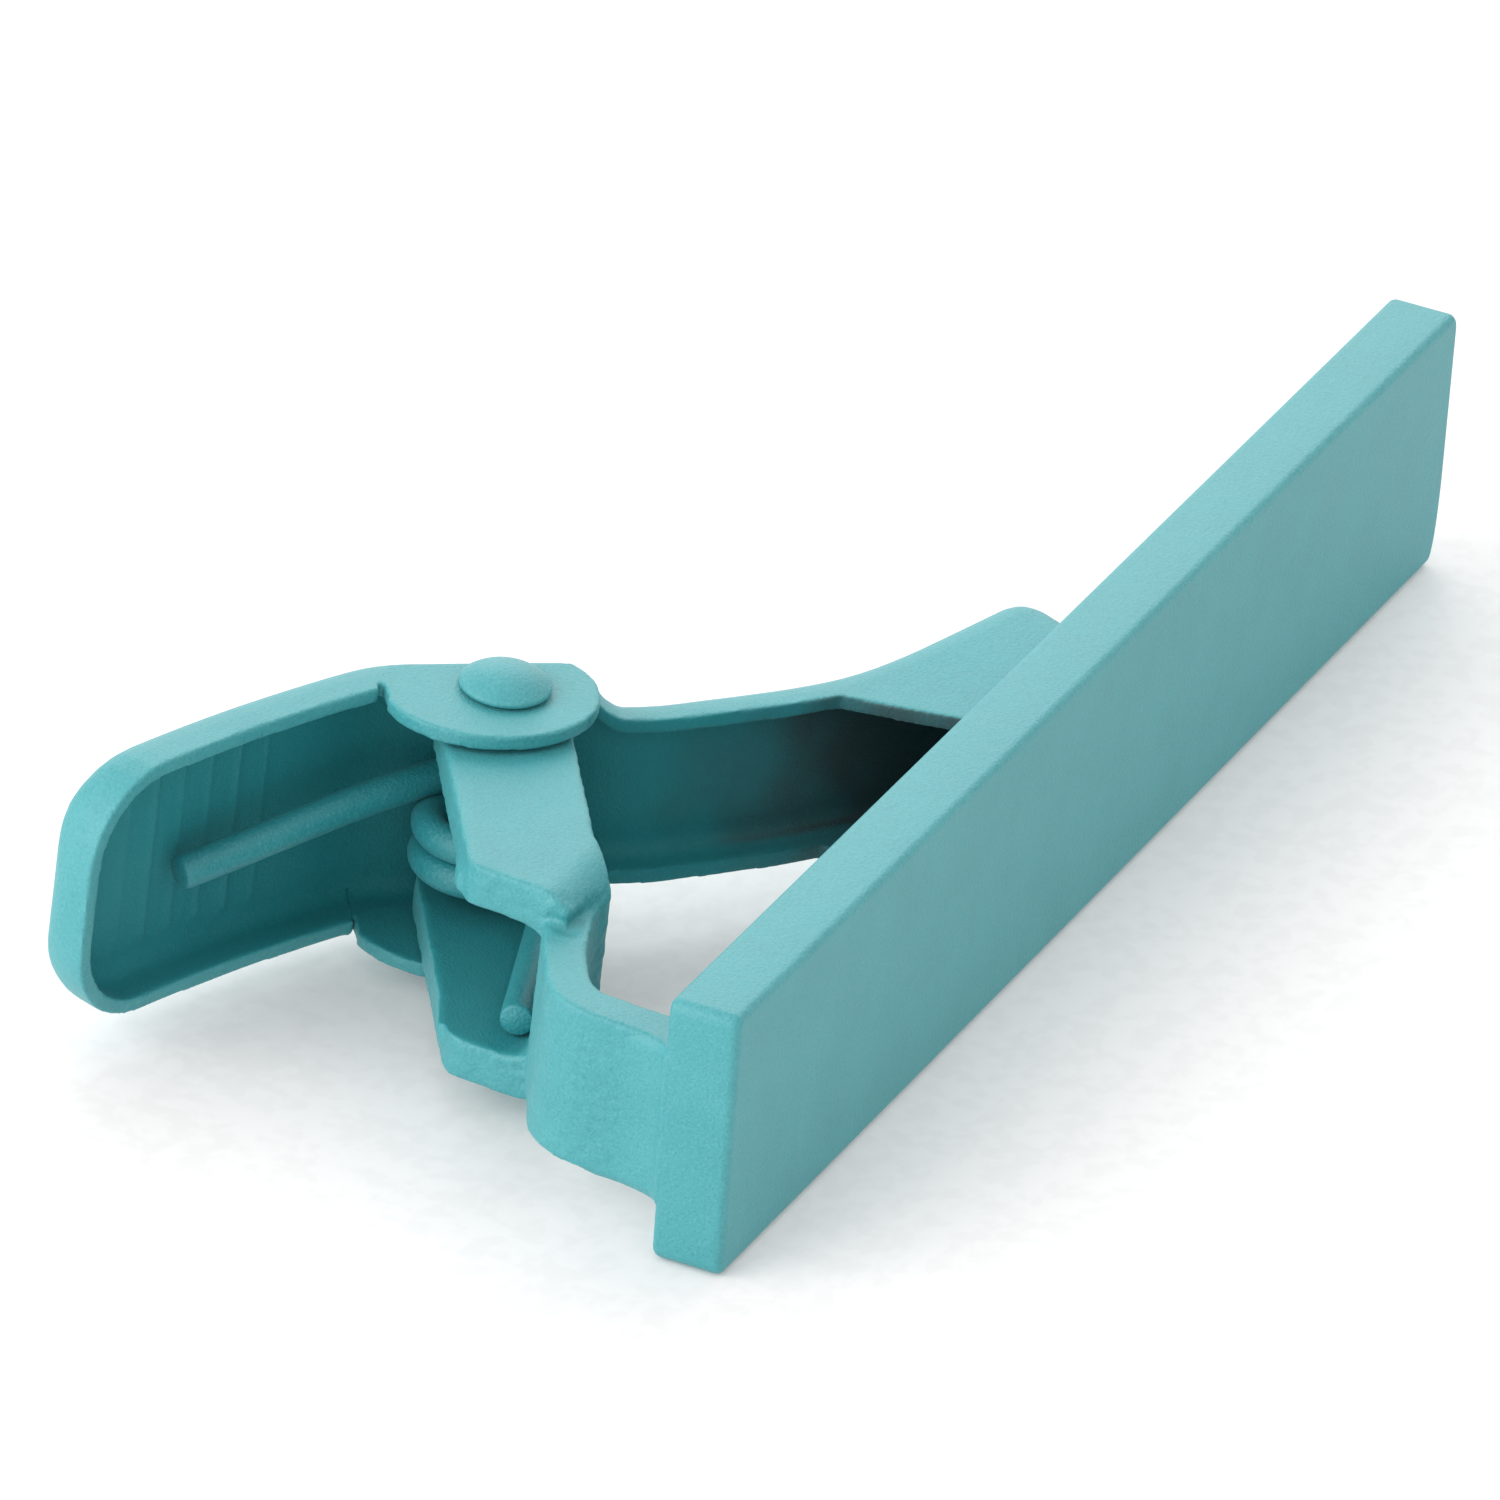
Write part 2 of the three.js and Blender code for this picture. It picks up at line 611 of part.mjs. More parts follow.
function makeSpring() {
  const section = new THREE.Shape();
  section.absarc(0, 0, spring.wire / 2, 0, Math.PI * 2);
  const geometry = new THREE.ExtrudeGeometry(section, {
    steps: facets.wirePath, curveSegments: facets.wire, bevelEnabled: false, extrudePath: new SpringPath(),
  });
  return painted('torsion_spring', geometryOf(solidOf(geometry)));
}

// --------------------------------------------------------------------------- assembly

const clip = new THREE.Group();
clip.position.set(-bar.length / 2, bar.thickness, 0);
const clasp = new THREE.Group();
clasp.rotation.x = degrees(claspLean);
clasp.add(makeBracket(), makeRivet(), makeSpring(), makeLever());
clip.add(makeBar(), makeSolderFillet(), clasp);

const tieClip = new THREE.Group();
tieClip.add(clip);

export default tieClip;
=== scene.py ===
"""Looks of the tie clip: a flat bar with a sprung pinch clasp soldered behind one end.

Sizes are in millimetres and angles in degrees. The clasp's pieces are shaped in the clasp's
own frame, and every mesh is handed to Blender in metres, in the row frame: X along the bar,
Y from its front face to the clasp, Z across its width.
"""

import logging
import math
from dataclasses import dataclass, field
from enum import Enum
from typing import Iterable, Sequence, Union

import bmesh
import bpy
import numpy as np
from mathutils import Matrix, Vector, noise


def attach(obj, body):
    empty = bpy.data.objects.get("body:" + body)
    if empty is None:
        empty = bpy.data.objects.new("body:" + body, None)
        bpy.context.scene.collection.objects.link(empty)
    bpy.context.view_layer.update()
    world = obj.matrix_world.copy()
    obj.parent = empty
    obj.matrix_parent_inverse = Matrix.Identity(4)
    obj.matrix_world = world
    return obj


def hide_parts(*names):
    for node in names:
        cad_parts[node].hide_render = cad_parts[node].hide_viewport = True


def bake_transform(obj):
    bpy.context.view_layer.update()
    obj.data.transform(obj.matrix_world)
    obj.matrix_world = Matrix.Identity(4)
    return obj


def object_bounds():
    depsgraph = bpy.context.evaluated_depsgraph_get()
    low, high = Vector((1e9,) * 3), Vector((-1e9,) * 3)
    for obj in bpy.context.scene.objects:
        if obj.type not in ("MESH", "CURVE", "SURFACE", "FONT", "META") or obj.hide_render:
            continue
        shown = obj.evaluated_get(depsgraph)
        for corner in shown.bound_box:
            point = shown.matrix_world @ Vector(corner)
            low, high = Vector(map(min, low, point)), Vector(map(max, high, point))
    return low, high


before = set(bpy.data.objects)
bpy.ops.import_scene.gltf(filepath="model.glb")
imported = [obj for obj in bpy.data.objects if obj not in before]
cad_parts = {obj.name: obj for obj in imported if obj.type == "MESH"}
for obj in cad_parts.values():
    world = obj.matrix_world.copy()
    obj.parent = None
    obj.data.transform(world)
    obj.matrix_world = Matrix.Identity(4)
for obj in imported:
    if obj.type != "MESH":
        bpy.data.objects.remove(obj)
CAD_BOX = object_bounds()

LOG = logging.getLogger("tie_clip")
MM = 0.001
Colour = tuple[float, float, float]
Point = tuple[float, float, float]
# The two values between which a smooth step runs; it falls where the first is the higher.
Band = tuple[float, float]
# Places of a Mix node's colour sockets, which share their names with its other sockets.
MIX_SHARE, MIX_FIRST, MIX_SECOND, MIX_RESULT = 0, 6, 7, 2


class Body(Enum):
    """The rigid groups that pieces move with."""

    FRAME = "frame"
    LEVER = "lever"


# ------------------------------------------------------------------------ shader maths


class Signal:
    """A number-carrying shader socket that takes part in ordinary arithmetic."""

    def __init__(self, shader: "Shader", socket: bpy.types.NodeSocket) -> None:
        """Wraps a socket of a shader's tree."""
        self.shader = shader
        self.socket = socket

    def _math(self, operation: str, first: "Operand", second: "Operand") -> "Signal":
        """A Math node between two operands."""
        return self.shader.node("ShaderNodeMath", {"operation": operation}, {0: first, 1: second})

    def __add__(self, other: "Operand") -> "Signal":
        """self + other."""
        return self._math("ADD", self, other)

    __radd__ = __add__

    def __mul__(self, other: "Operand") -> "Signal":
        """self * other."""
        return self._math("MULTIPLY", self, other)

    __rmul__ = __mul__

    def __sub__(self, other: "Operand") -> "Signal":
        """self - other."""
        return self._math("SUBTRACT", self, other)

    def __rsub__(self, other: "Operand") -> "Signal":
        """other - self."""
        return self._math("SUBTRACT", other, self)

    def step(self, low: float, high: float) -> "Signal":
        """Rises smoothly from 0 at low to 1 at high, or falls where low is above high.

        Args:
            low: The value that gives 0.
            high: The value that gives 1.

        Returns:
            The stepped signal.
        """
        return self.shader.node("ShaderNodeMapRange", {"interpolation_type": "SMOOTHSTEP"},
                                {"Value": self, "From Min": low, "From Max": high})


Operand = Union[Signal, float, int]


class Shader:
    """A material's node tree, and the one way in which its nodes are made."""

    def __init__(self, name: str) -> None:
        """Makes a node material that has no surface yet."""
        self.material = bpy.data.materials.new(name)
        self.material.use_nodes = True
        self.tree = self.material.node_tree
        self.tree.nodes.clear()
        self.place = self.node("ShaderNodeTexCoord", {}, {}, "Object")

    def add(self, kind: str, settings: dict[str, object],
            inputs: dict[Union[str, int], object]) -> bpy.types.Node:
        """Adds a node, sets its options first and its sockets next.

        Args:
            kind: The node's type name.
            settings: Its options, such as an operation, set as attributes.
            inputs: Values or signals for its sockets, by name or place.

        Returns:
            The new node.
        """
        made = self.tree.nodes.new(kind)
        for key, value in settings.items():
            setattr(made, key, value)
        for key, value in inputs.items():
            if isinstance(value, Signal):
                self.tree.links.new(value.socket, made.inputs[key])
            else:
                made.inputs[key].default_value = value
        return made

    def node(self, kind: str, settings: dict[str, object],
             inputs: dict[Union[str, int], object], output: Union[str, int] = 0) -> Signal:
        """Adds a node and hands back one of its outputs.

        Args:
            kind: The node's type name.
            settings: Its options.
            inputs: Values or signals for its sockets.
            output: The output's name or place.

        Returns:
            The output as a signal.
        """
        return Signal(self, self.add(kind, settings, inputs).outputs[output])

    def surface(self, values: dict[Union[str, int], object]) -> bpy.types.Material:
        """Finishes the tree with a Principled surface.

        Args:
            values: Values or signals for the surface's sockets, by name.

        Returns:
            The finished material.
        """
        skin = self.node("ShaderNodeBsdfPrincipled", {}, values, "BSDF")
        self.add("ShaderNodeOutputMaterial", {}, {"Surface": skin})
        return self.material

    def cloud(self, size: float, detail: float = 2.0, roughness: float = 0.5,
              warp: float = 0.0, place: Union[Signal, None] = None) -> Signal:
        """Soft noise over the piece.

        Args:
            size: Width of one patch in mm.
            detail: Octaves of finer noise on top.
            roughness: How strong the finer octaves are.
            warp: How far the noise folds into itself.
            place: Where the noise is read, if not at the piece's own coordinates.

        Returns:
            A signal around one half.
        """
        return self.node("ShaderNodeTexNoise", {}, {
            "Vector": place or self.place, "Scale": 1.0 / (size * MM), "Detail": detail,
            "Roughness": roughness, "Distortion": warp})

    def specks(self, spacing: float, radius: float, patch: float, band: Band,
               core: float = 0.3) -> Signal:
        """Small round dots that lie in loose patches.

        Args:
            spacing: Mean distance between dots in mm.
            radius: A dot's radius in mm.
            patch: Width of a patch in mm.
            band: Where in the patches' noise the dots fade in.
            core: The share of the radius that is full.

        Returns:
            1 at a dot's middle, 0 outside.
        """
        away = self.node("ShaderNodeTexVoronoi", {"feature": "F1"},
                         {"Vector": self.place, "Scale": 1.0 / (spacing * MM)}, "Distance")
        dots = away.step(radius / spacing, radius / spacing * core)
        return dots * self.cloud(patch, detail=0.0).step(*band)

    def drawn(self, attribute: str) -> Signal:
        """A value that the piece's own corners carry."""
        settings = {"attribute_name": attribute, "attribute_type": "GEOMETRY"}
        return self.node("ShaderNodeAttribute", settings, {}, "Fac")

    def blend(self, share: Operand, first: object, second: object) -> Signal:
        """A colour between two, through a Mix node."""
        return self.node("ShaderNodeMix", {"data_type": "RGBA"},
                         {MIX_SHARE: share, MIX_FIRST: first, MIX_SECOND: second}, MIX_RESULT)

    def relief(self, height: Signal, depth: float, under: Union[Signal, None] = None) -> Signal:
        """A bump from a height signal.

        Args:
            height: The height, 0 to 1.
            depth: What a height of 1 stands for, in mm.
            under: A normal this bump sits on, or None.

        Returns:
            The bumped normal.
        """
        values: dict[Union[str, int], object] = {
            "Strength": 1.0, "Distance": depth * MM, "Height": height}
        if under is not None:
            values["Normal"] = under
        return self.node("ShaderNodeBump", {}, values)


# ---------------------------------------------------------------------------- finishes


def opaque(colour: Colour) -> tuple[float, float, float, float]:
    """A colour with full alpha, as sockets take it."""
    return (*colour, 1.0)


@dataclass(frozen=True)
class SprayedPaint:
    """Matte teal paint, sprayed on thick: powdery grain, soft mottling, pits and dust; painted shade in
    pockets; and a dark tone deep inside, partly thin paint and partly painted shade.
    """

    name: str
    colour: Colour = (0.036, 0.292, 0.320)
    pale: Colour = (0.056, 0.334, 0.356)
    powder: Colour = (0.105, 0.400, 0.415)
    pit: Colour = (0.010, 0.150, 0.170)
    dust: Colour = (0.480, 0.560, 0.540)
    # Painted shade for the pockets between the ears and inside the channel.
    painted_shade: Colour = (0.000, 0.215, 0.240)
    # A dark bare-metal tone deep in the neck and jaw: partly thin paint, partly painted shade.
    bare_metal_and_shade: Colour = (0.024, 0.040, 0.043)
    painted_shade_attribute: str = ""
    thin_and_shade_attribute: str = ""

    # The coat itself: widths of its patches, depth of its relief, and how far its tones show.
    grain_size: float = 0.070
    grain_depth: float = 0.023
    powder_share: float = 0.40
    powder_band: Band = (0.48, 0.74)
    hollow_share: float = 0.34
    hollow_band: Band = (0.46, 0.26)
    mottle_size: float = 1.6
    mottle_share: float = 0.6
    mottle_band: Band = (0.30, 0.72)
    peel_size: float = 0.22
    peel_depth: float = 0.006
    lump_size: float = 0.75
    lump_depth: float = 0.006

    # Pits and dust, scattered in loose patches.
    pit_spacing: float = 2.1
    pit_radius: float = 0.055
    pit_patch: float = 1.9
    pit_band: Band = (0.52, 0.60)
    pit_share: float = 0.75
    pit_depth: float = 0.012
    dust_spacing: float = 3.4
    dust_radius: float = 0.045
    dust_patch: float = 2.6
    dust_band: Band = (0.56, 0.64)
    dust_share: float = 0.45

    # The painted shade in pockets; the dark tone deep inside, partly thin paint and partly painted shade;
    # and the lines that a press draws along Z.
    painted_shade_share: float = 1.28
    painted_shade_grain: float = 0.6
    thin_and_shade_share: float = 0.68
    thin_and_shade_mottle: float = 0.5
    drag_width: float = 0.11
    drag_depth: float = 0.0
    drag_squeeze: Point = (1.0, 1.0, 0.08)

    # The gloss.
    roughness: float = 0.50
    grain_roughness: float = 0.16
    mottle_roughness: float = 0.10
    recess_roughness: float = 0.22
    thin_smoothness: float = 0.14
    refraction: float = 1.60
    sheen: float = 0.05
    sheen_roughness: float = 0.45

    def material(self) -> bpy.types.Material:
        """Builds the paint.

        Returns:
            The finished material.
        """
        shader = Shader(self.name)
        grain = shader.cloud(self.grain_size, roughness=0.65)
        mottle = shader.cloud(self.mottle_size, detail=3.0, roughness=0.55, warp=0.4)
        pits = shader.specks(self.pit_spacing, self.pit_radius, self.pit_patch, self.pit_band)
        dust = shader.specks(self.dust_spacing, self.dust_radius, self.dust_patch, self.dust_band)
        layers = [
            (self.pale, mottle.step(*self.mottle_band) * self.mottle_share),
            (self.powder, grain.step(*self.powder_band) * self.powder_share),
            (self.pit, grain.step(*self.hollow_band) * self.hollow_share),
            (self.pit, pits * self.pit_share),
            (self.dust, dust * self.dust_share),
        ]
        rough = ((grain - 0.5) * self.grain_roughness + (mottle - 0.5) * self.mottle_roughness
                 + self.roughness)
        # Painted shade: the pockets are drawn deeper in tone.
        if self.painted_shade_attribute:
            shade = shader.drawn(self.painted_shade_attribute)
            layers.append((self.painted_shade, shade * (self.painted_shade_share - grain * self.painted_shade_grain)))
            rough = rough + shade * self.recess_roughness
        # A dark tone deep inside: partly bare metal under thin paint, partly painted shade.
        if self.thin_and_shade_attribute:
            thin = shader.drawn(self.thin_and_shade_attribute)
            bared = (mottle * self.thin_and_shade_mottle + self.thin_and_shade_share).step(0.0, 1.0)
            layers.append((self.bare_metal_and_shade, thin * bared))
            rough = rough - thin * self.thin_smoothness
        tone: object = opaque(self.colour)
        for colour, share in layers:
            tone = shader.blend(share, tone, opaque(colour))
        return shader.surface({
            "Base Color": tone, "Roughness": rough, "Normal": self.relief(shader, grain, pits),
            "IOR": self.refraction, "Sheen Weight": self.sheen,
            "Sheen Roughness": self.sheen_roughness})

    def relief(self, shader: Shader, grain: Signal, pits: Signal) -> Signal:
        """Stacks powder grain, orange peel, lumps, pits and the press's lines along Z.

        Args:
            shader: The tree being built.
            grain: The powder grain.
            pits: 1 at a pit's middle.

        Returns:
            The paint's normal.
        """
        heights = [
            (grain, self.grain_depth),
            (shader.cloud(self.peel_size, detail=1.0, roughness=0.4), self.peel_depth),
            (shader.cloud(self.lump_size), self.lump_depth),
            (1 - pits, self.pit_depth),
        ]
        if self.drag_depth:
            drawn_out = shader.node("ShaderNodeVectorMath", {"operation": "MULTIPLY"},
                                    {0: shader.place, 1: self.drag_squeeze})
            lines = shader.cloud(self.drag_width, roughness=0.6, place=drawn_out)
            heights.append((lines, self.drag_depth))
        normal = None
        for height, depth in heights:
            normal = shader.relief(height, depth, normal)
        return normal


@dataclass(frozen=True)
class PaperFloor:
    """White card, almost without texture, and faintly lit from below as on a light table."""

    name: str = "white_card"
    colour: Colour = (0.78, 0.765, 0.765)
    fleck: Colour = (0.75, 0.735, 0.735)
    fleck_size: float = 0.5
    fleck_band: Band = (0.42, 0.62)
    roughness: float = 0.9
    shine: float = 0.1
    glow: float = 0.17

    def material(self) -> bpy.types.Material:
        """Builds the card's material."""
        shader = Shader(self.name)
        flecks = shader.cloud(self.fleck_size, detail=3.0).step(*self.fleck_band)
        return shader.surface({
            "Base Color": shader.blend(flecks, opaque(self.colour), opaque(self.fleck)),
            "Roughness": self.roughness, "Specular IOR Level": self.shine,
            "Emission Color": opaque(self.colour), "Emission Strength": self.glow})


# ------------------------------------------------------------------------- mesh making


@dataclass
class Form:
    """Corners in mm and faces of a piece in the making."""

    corners: list[Point] = field(default_factory=list)
    faces: list[tuple[int, ...]] = field(default_factory=list)

    def ring(self, points: Iterable[Point]) -> list[int]:
        """Adds a ring of corners and gives their places."""
        start = len(self.corners)
        self.corners.extend(tuple(p) for p in points)
        return list(range(start, len(self.corners)))

    def bridge(self, first: Sequence[int], second: Sequence[int]) -> None:
        """Joins two rings of equal length with quads."""
        count = len(first)
        for place in range(count):
            after = (place + 1) % count
            self.faces.append((first[place], first[after], second[after], second[place]))

    def close(self, ring: Sequence[int], middle: Point, flip: bool) -> None:
        """Closes a ring with triangles to a middle corner."""
        centre = self.ring([middle])[0]
        count = len(ring)
        for place in range(count):
            pair = (ring[place], ring[(place + 1) % count])
            self.faces.append((pair[1], pair[0], centre) if flip else (pair[0], pair[1], centre))

    def skin(self, rings: Sequence[Sequence[Point]], start: Point, end: Point) -> "Form":
        """Bridges a row of rings and closes both ends.

        Args:
            rings: Rings of points, all of one length.
            start: Middle of the first end.
            end: Middle of the last end.

        Returns:
            The form itself.
        """
        placed = [self.ring(ring) for ring in rings]
        for first, second in zip(placed, placed[1:]):
            self.bridge(first, second)
        self.close(placed[0], start, True)
        self.close(placed[-1], end, False)
        return self

    def mesh(self, name: str, place: Matrix) -> bpy.types.Mesh:
        """Turns the form into a mesh in metres.

        Args:
            name: The mesh's name.
            place: Where the form's own frame lies in the row frame, in metres.

        Returns:
            A closed mesh whose faces point out.
        """
        made = bpy.data.meshes.new(name)
        made.from_pydata(self.corners, [], self.faces)
        made.transform(place @ Matrix.Scale(MM, 4))
        work = bmesh.new()
        work.from_mesh(made)
        bmesh.ops.remove_doubles(work, verts=work.verts, dist=1e-8)
        bmesh.ops.recalc_face_normals(work, faces=work.faces)
        if work.calc_volume(signed=True) < 0:
            bmesh.ops.reverse_faces(work, faces=work.faces)
        work.to_mesh(made)
        work.free()
        made.shade_smooth()
        return made


def softened(source: bpy.types.Mesh, name: str, cell: float, passes: int) -> bpy.types.Mesh:
    """A closely and evenly meshed copy of a solid, its edges rounded as thick paint rounds them.

    Args:
        source: The solid, in metres.
        name: The new mesh's name.
        cell: Size of the new mesh's faces in mm.
        passes: Smoothing passes; each rounds the edges a little more.

    Returns:
        The new mesh, in metres.
    """
    rough = source.copy()
    rough.transform(Matrix.Scale(1.0 / MM, 4))
    work = bmesh.new()
    work.from_mesh(rough)
    bmesh.ops.remove_doubles(work, verts=work.verts, dist=1e-4)
    work.to_mesh(rough)
    work.free()
    carrier = bpy.data.objects.new("in_the_making", rough)
    bpy.context.scene.collection.objects.link(carrier)
    remesh = carrier.modifiers.new("even", "REMESH")
    remesh.mode = "VOXEL"
    remesh.voxel_size = cell
    remesh.use_smooth_shade = True
    smooth = carrier.modifiers.new("paint", "SMOOTH")
    smooth.factor = 0.5
    smooth.iterations = passes
    graph = bpy.context.evaluated_depsgraph_get()
    made = bpy.data.meshes.new_from_object(carrier.evaluated_get(graph))
    made.name = name
    made.materials.clear()
    made.transform(Matrix.Scale(MM, 4))
    bpy.data.objects.remove(carrier)
    bpy.data.meshes.remove(rough)
    made.shade_smooth()
    return made


def corners_of(mesh: bpy.types.Mesh) -> np.ndarray:
    """A mesh's corners in mm, one row each."""
    flat = np.zeros(len(mesh.vertices) * 3, np.float32)
    mesh.vertices.foreach_get("co", flat)
    return flat.reshape(-1, 3).astype(float) / MM


def normals_of(mesh: bpy.types.Mesh) -> np.ndarray:
    """A mesh's corner normals, one row each."""
    flat = np.zeros(len(mesh.vertices) * 3, np.float32)
    mesh.vertex_normals.foreach_get("vector", flat)
    return flat.reshape(-1, 3).astype(float)


def place_corners(mesh: bpy.types.Mesh, points: np.ndarray) -> None:
    """Puts each corner of a mesh at a new place, in mm."""
    mesh.vertices.foreach_set("co", (points * MM).astype(np.float32).ravel())
    mesh.update()


def raise_surface(mesh: bpy.types.Mesh, height: np.ndarray) -> None:
    """Moves each corner along its normal.

    Args:
        mesh: The mesh to change.
        height: How far each corner moves, in mm.
    """
    place_corners(mesh, corners_of(mesh) + normals_of(mesh) * height[:, None])


def relax(mesh: bpy.types.Mesh, passes: int) -> None:
    """Draws each corner halfway to the middle of its neighbours, again and again.

    Args:
        mesh: The mesh to change.
        passes: How many times.
    """
    pairs = np.zeros(len(mesh.edges) * 2, np.int32)
    mesh.edges.foreach_get("vertices", pairs)
    first, second = pairs.reshape(-1, 2).T
    count = np.bincount(pairs, minlength=len(mesh.vertices))[:, None]
    points = corners_of(mesh)
    for _ in range(passes):
        total = np.stack([
            np.bincount(first, points[second, axis], len(points))
            + np.bincount(second, points[first, axis], len(points)) for axis in range(3)], axis=1)
        points = (points + total / count) / 2
    place_corners(mesh, points)


def write_attribute(mesh: bpy.types.Mesh, name: str, values: np.ndarray) -> None:
    """Gives each corner of a mesh a number that its material can read."""
    made = mesh.attributes.new(name, "FLOAT", "POINT")
    made.data.foreach_set("value", values.astype(np.float32))


def towards(heading: float) -> np.ndarray:
    """The direction of length 1 at a heading, anticlockwise from the first axis."""
    return np.array((math.cos(math.radians(heading)), math.sin(math.radians(heading))))


def circle(count: int) -> list[tuple[float, float]]:
    """Evenly spaced points on a circle of radius 1."""
    turns = (2 * math.pi * place / count for place in range(count))
    return [(math.cos(turn), math.sin(turn)) for turn in turns]


def smoothstep(values: np.ndarray, low: float, high: float) -> np.ndarray:
    """0 below low, 1 above high, and smooth between them; low may be above high."""
    share = np.clip((values - low) / (high - low), 0.0, 1.0)
    return share * share * (3 - 2 * share)


def inner_flanks(points: np.ndarray, facing: np.ndarray, band: Band) -> np.ndarray:
    """Finds the faces that look across the clasp, towards its middle.

    Args:
        points: Corners in the clasp's frame, in mm.
        facing: Their normals in the same frame.
        band: How squarely a face has to look across.

    Returns:
        1 at a corner that looks straight to the middle, 0 at one that doesn't.
    """
    return (facing[:, 2] * points[:, 2] < 0) * smoothstep(np.abs(facing[:, 2]), *band)


def ripple(points: np.ndarray, size: float, seed: float) -> np.ndarray:
    """Soft noise at each point, from -1 to 1.

    Args:
        points: Points in mm.
        size: Width of one wave in mm.
        seed: Shifts the pattern.

    Returns:
        One number per point.
    """
    return np.array([noise.noise(Vector(p / size + seed)) for p in points])


def add_piece(name: str, mesh: bpy.types.Mesh, finish: bpy.types.Material) -> bpy.types.Object:
    """Links a mesh into the scene under a finish.

    Args:
        name: The piece's name.
        mesh: Its mesh, in metres in the row frame.
        finish: Its only material.

    Returns:
        The new object.
    """
    mesh.materials.clear()
    mesh.materials.append(finish)
    made = bpy.data.objects.new(name, mesh)
    bpy.context.scene.collection.objects.link(made)
    LOG.info("%s: %d corners, %d faces", name, len(mesh.vertices), len(mesh.polygons))
    return made


# ------------------------------------------------------------------------------ pieces


@dataclass
class FrontBar:
    """The flat bar: rounded corners, broken edges, and a far end that is worn rounder."""

    length: float = 38.1
    width: float = 6.35
    thickness: float = 1.67
    edge: float = 0.20
    edge_margin: float = 0.04
    near_corner: tuple[float, float] = (0.27, 0.30)
    far_top_corner: tuple[float, float] = (0.34, 0.40)
    far_low_corner: tuple[float, float] = (0.52, 2.3)
    corner_steps: int = 10
    edge_steps: int = 5

    def outline(self, inset: float) -> list[tuple[float, float]]:
        """The bar's outline in X and Z, shrunk by an inset.

        Args:
            inset: How far inside the full outline, in mm.

        Returns:
            Points in order round the outline.
        """
        half = (self.length / 2, self.width / 2)
        corners = [
            (1, 1, self.far_top_corner), (-1, 1, self.near_corner),
            (-1, -1, self.near_corner), (1, -1, self.far_low_corner),
        ]
        points = []
        for turn, (side_x, side_z, (run_x, run_z)) in enumerate(corners):
            for step in range(self.corner_steps + 1):
                angle = math.radians(90 * turn + 90 * step / self.corner_steps)
                points.append((
                    side_x * (half[0] - run_x) + (run_x - inset) * math.cos(angle),
                    side_z * (half[1] - run_z) + (run_z - inset) * math.sin(angle)))
        return points

    def build(self, finish: SprayedPaint) -> bpy.types.Object:
        """Makes the bar and lets it stand for the CAD bar.

        Args:
            finish: The paint.

        Returns:
            The bar.
        """
        stops = [(0.0, self.edge + self.edge_margin)]
        for step in range(self.edge_steps + 1):
            angle = math.pi / 2 * step / self.edge_steps
            stops.append((self.edge * (1 - math.cos(angle)), self.edge * (1 - math.sin(angle))))
        stops += [(self.thickness / 2, 0.0)]
        stops += [(self.thickness - depth, inset) for depth, inset in reversed(stops[:-1])]
        rings = [[(x, depth, z) for x, z in self.outline(inset)] for depth, inset in stops]
        form = Form().skin(rings, (0.0, 0.0, 0.0), (0.0, self.thickness, 0.0))
        made = add_piece("front_bar", form.mesh("front_bar", Matrix.Identity(4)), finish.material())
        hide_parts("bar")
        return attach(made, Body.FRAME.value)


@dataclass(frozen=True)
class ClaspFrame:
    """Where the clasp's own frame lies: x from the bar's end, y from its back, leaning a little."""

    bar: FrontBar
    lean: float = 3.0
    pivot: tuple[float, float] = (9.66, 8.81)

    def upright(self) -> Matrix:
        """The same frame without the lean, in metres."""
        return Matrix.Translation(Vector((-self.bar.length / 2, self.bar.thickness, 0.0)) * MM)

    def matrix(self) -> Matrix:
        """The clasp's frame in the row frame, in metres."""
        return self.upright() @ Matrix.Rotation(math.radians(self.lean), 4, "X")

    def own(self, points: np.ndarray) -> np.ndarray:
        """Row-frame points in mm, as the clasp's own coordinates."""
        inverse = np.array(self.matrix().inverted())
        return points @ inverse[:3, :3].T + inverse[:3, 3] / MM

    def back(self, points: np.ndarray) -> np.ndarray:
        """The clasp's own coordinates as row-frame points, in mm."""
        place = np.array(self.matrix())
        return points @ place[:3, :3].T + place[:3, 3] / MM

    def own_directions(self, directions: np.ndarray) -> np.ndarray:
        """Row-frame directions in the clasp's own frame."""
        return directions @ np.array(self.matrix().inverted())[:3, :3].T

    def row(self, point: Point) -> Vector:
        """A clasp point in mm as a row-frame point in metres."""
        return self.matrix() @ (Vector(point) * MM)


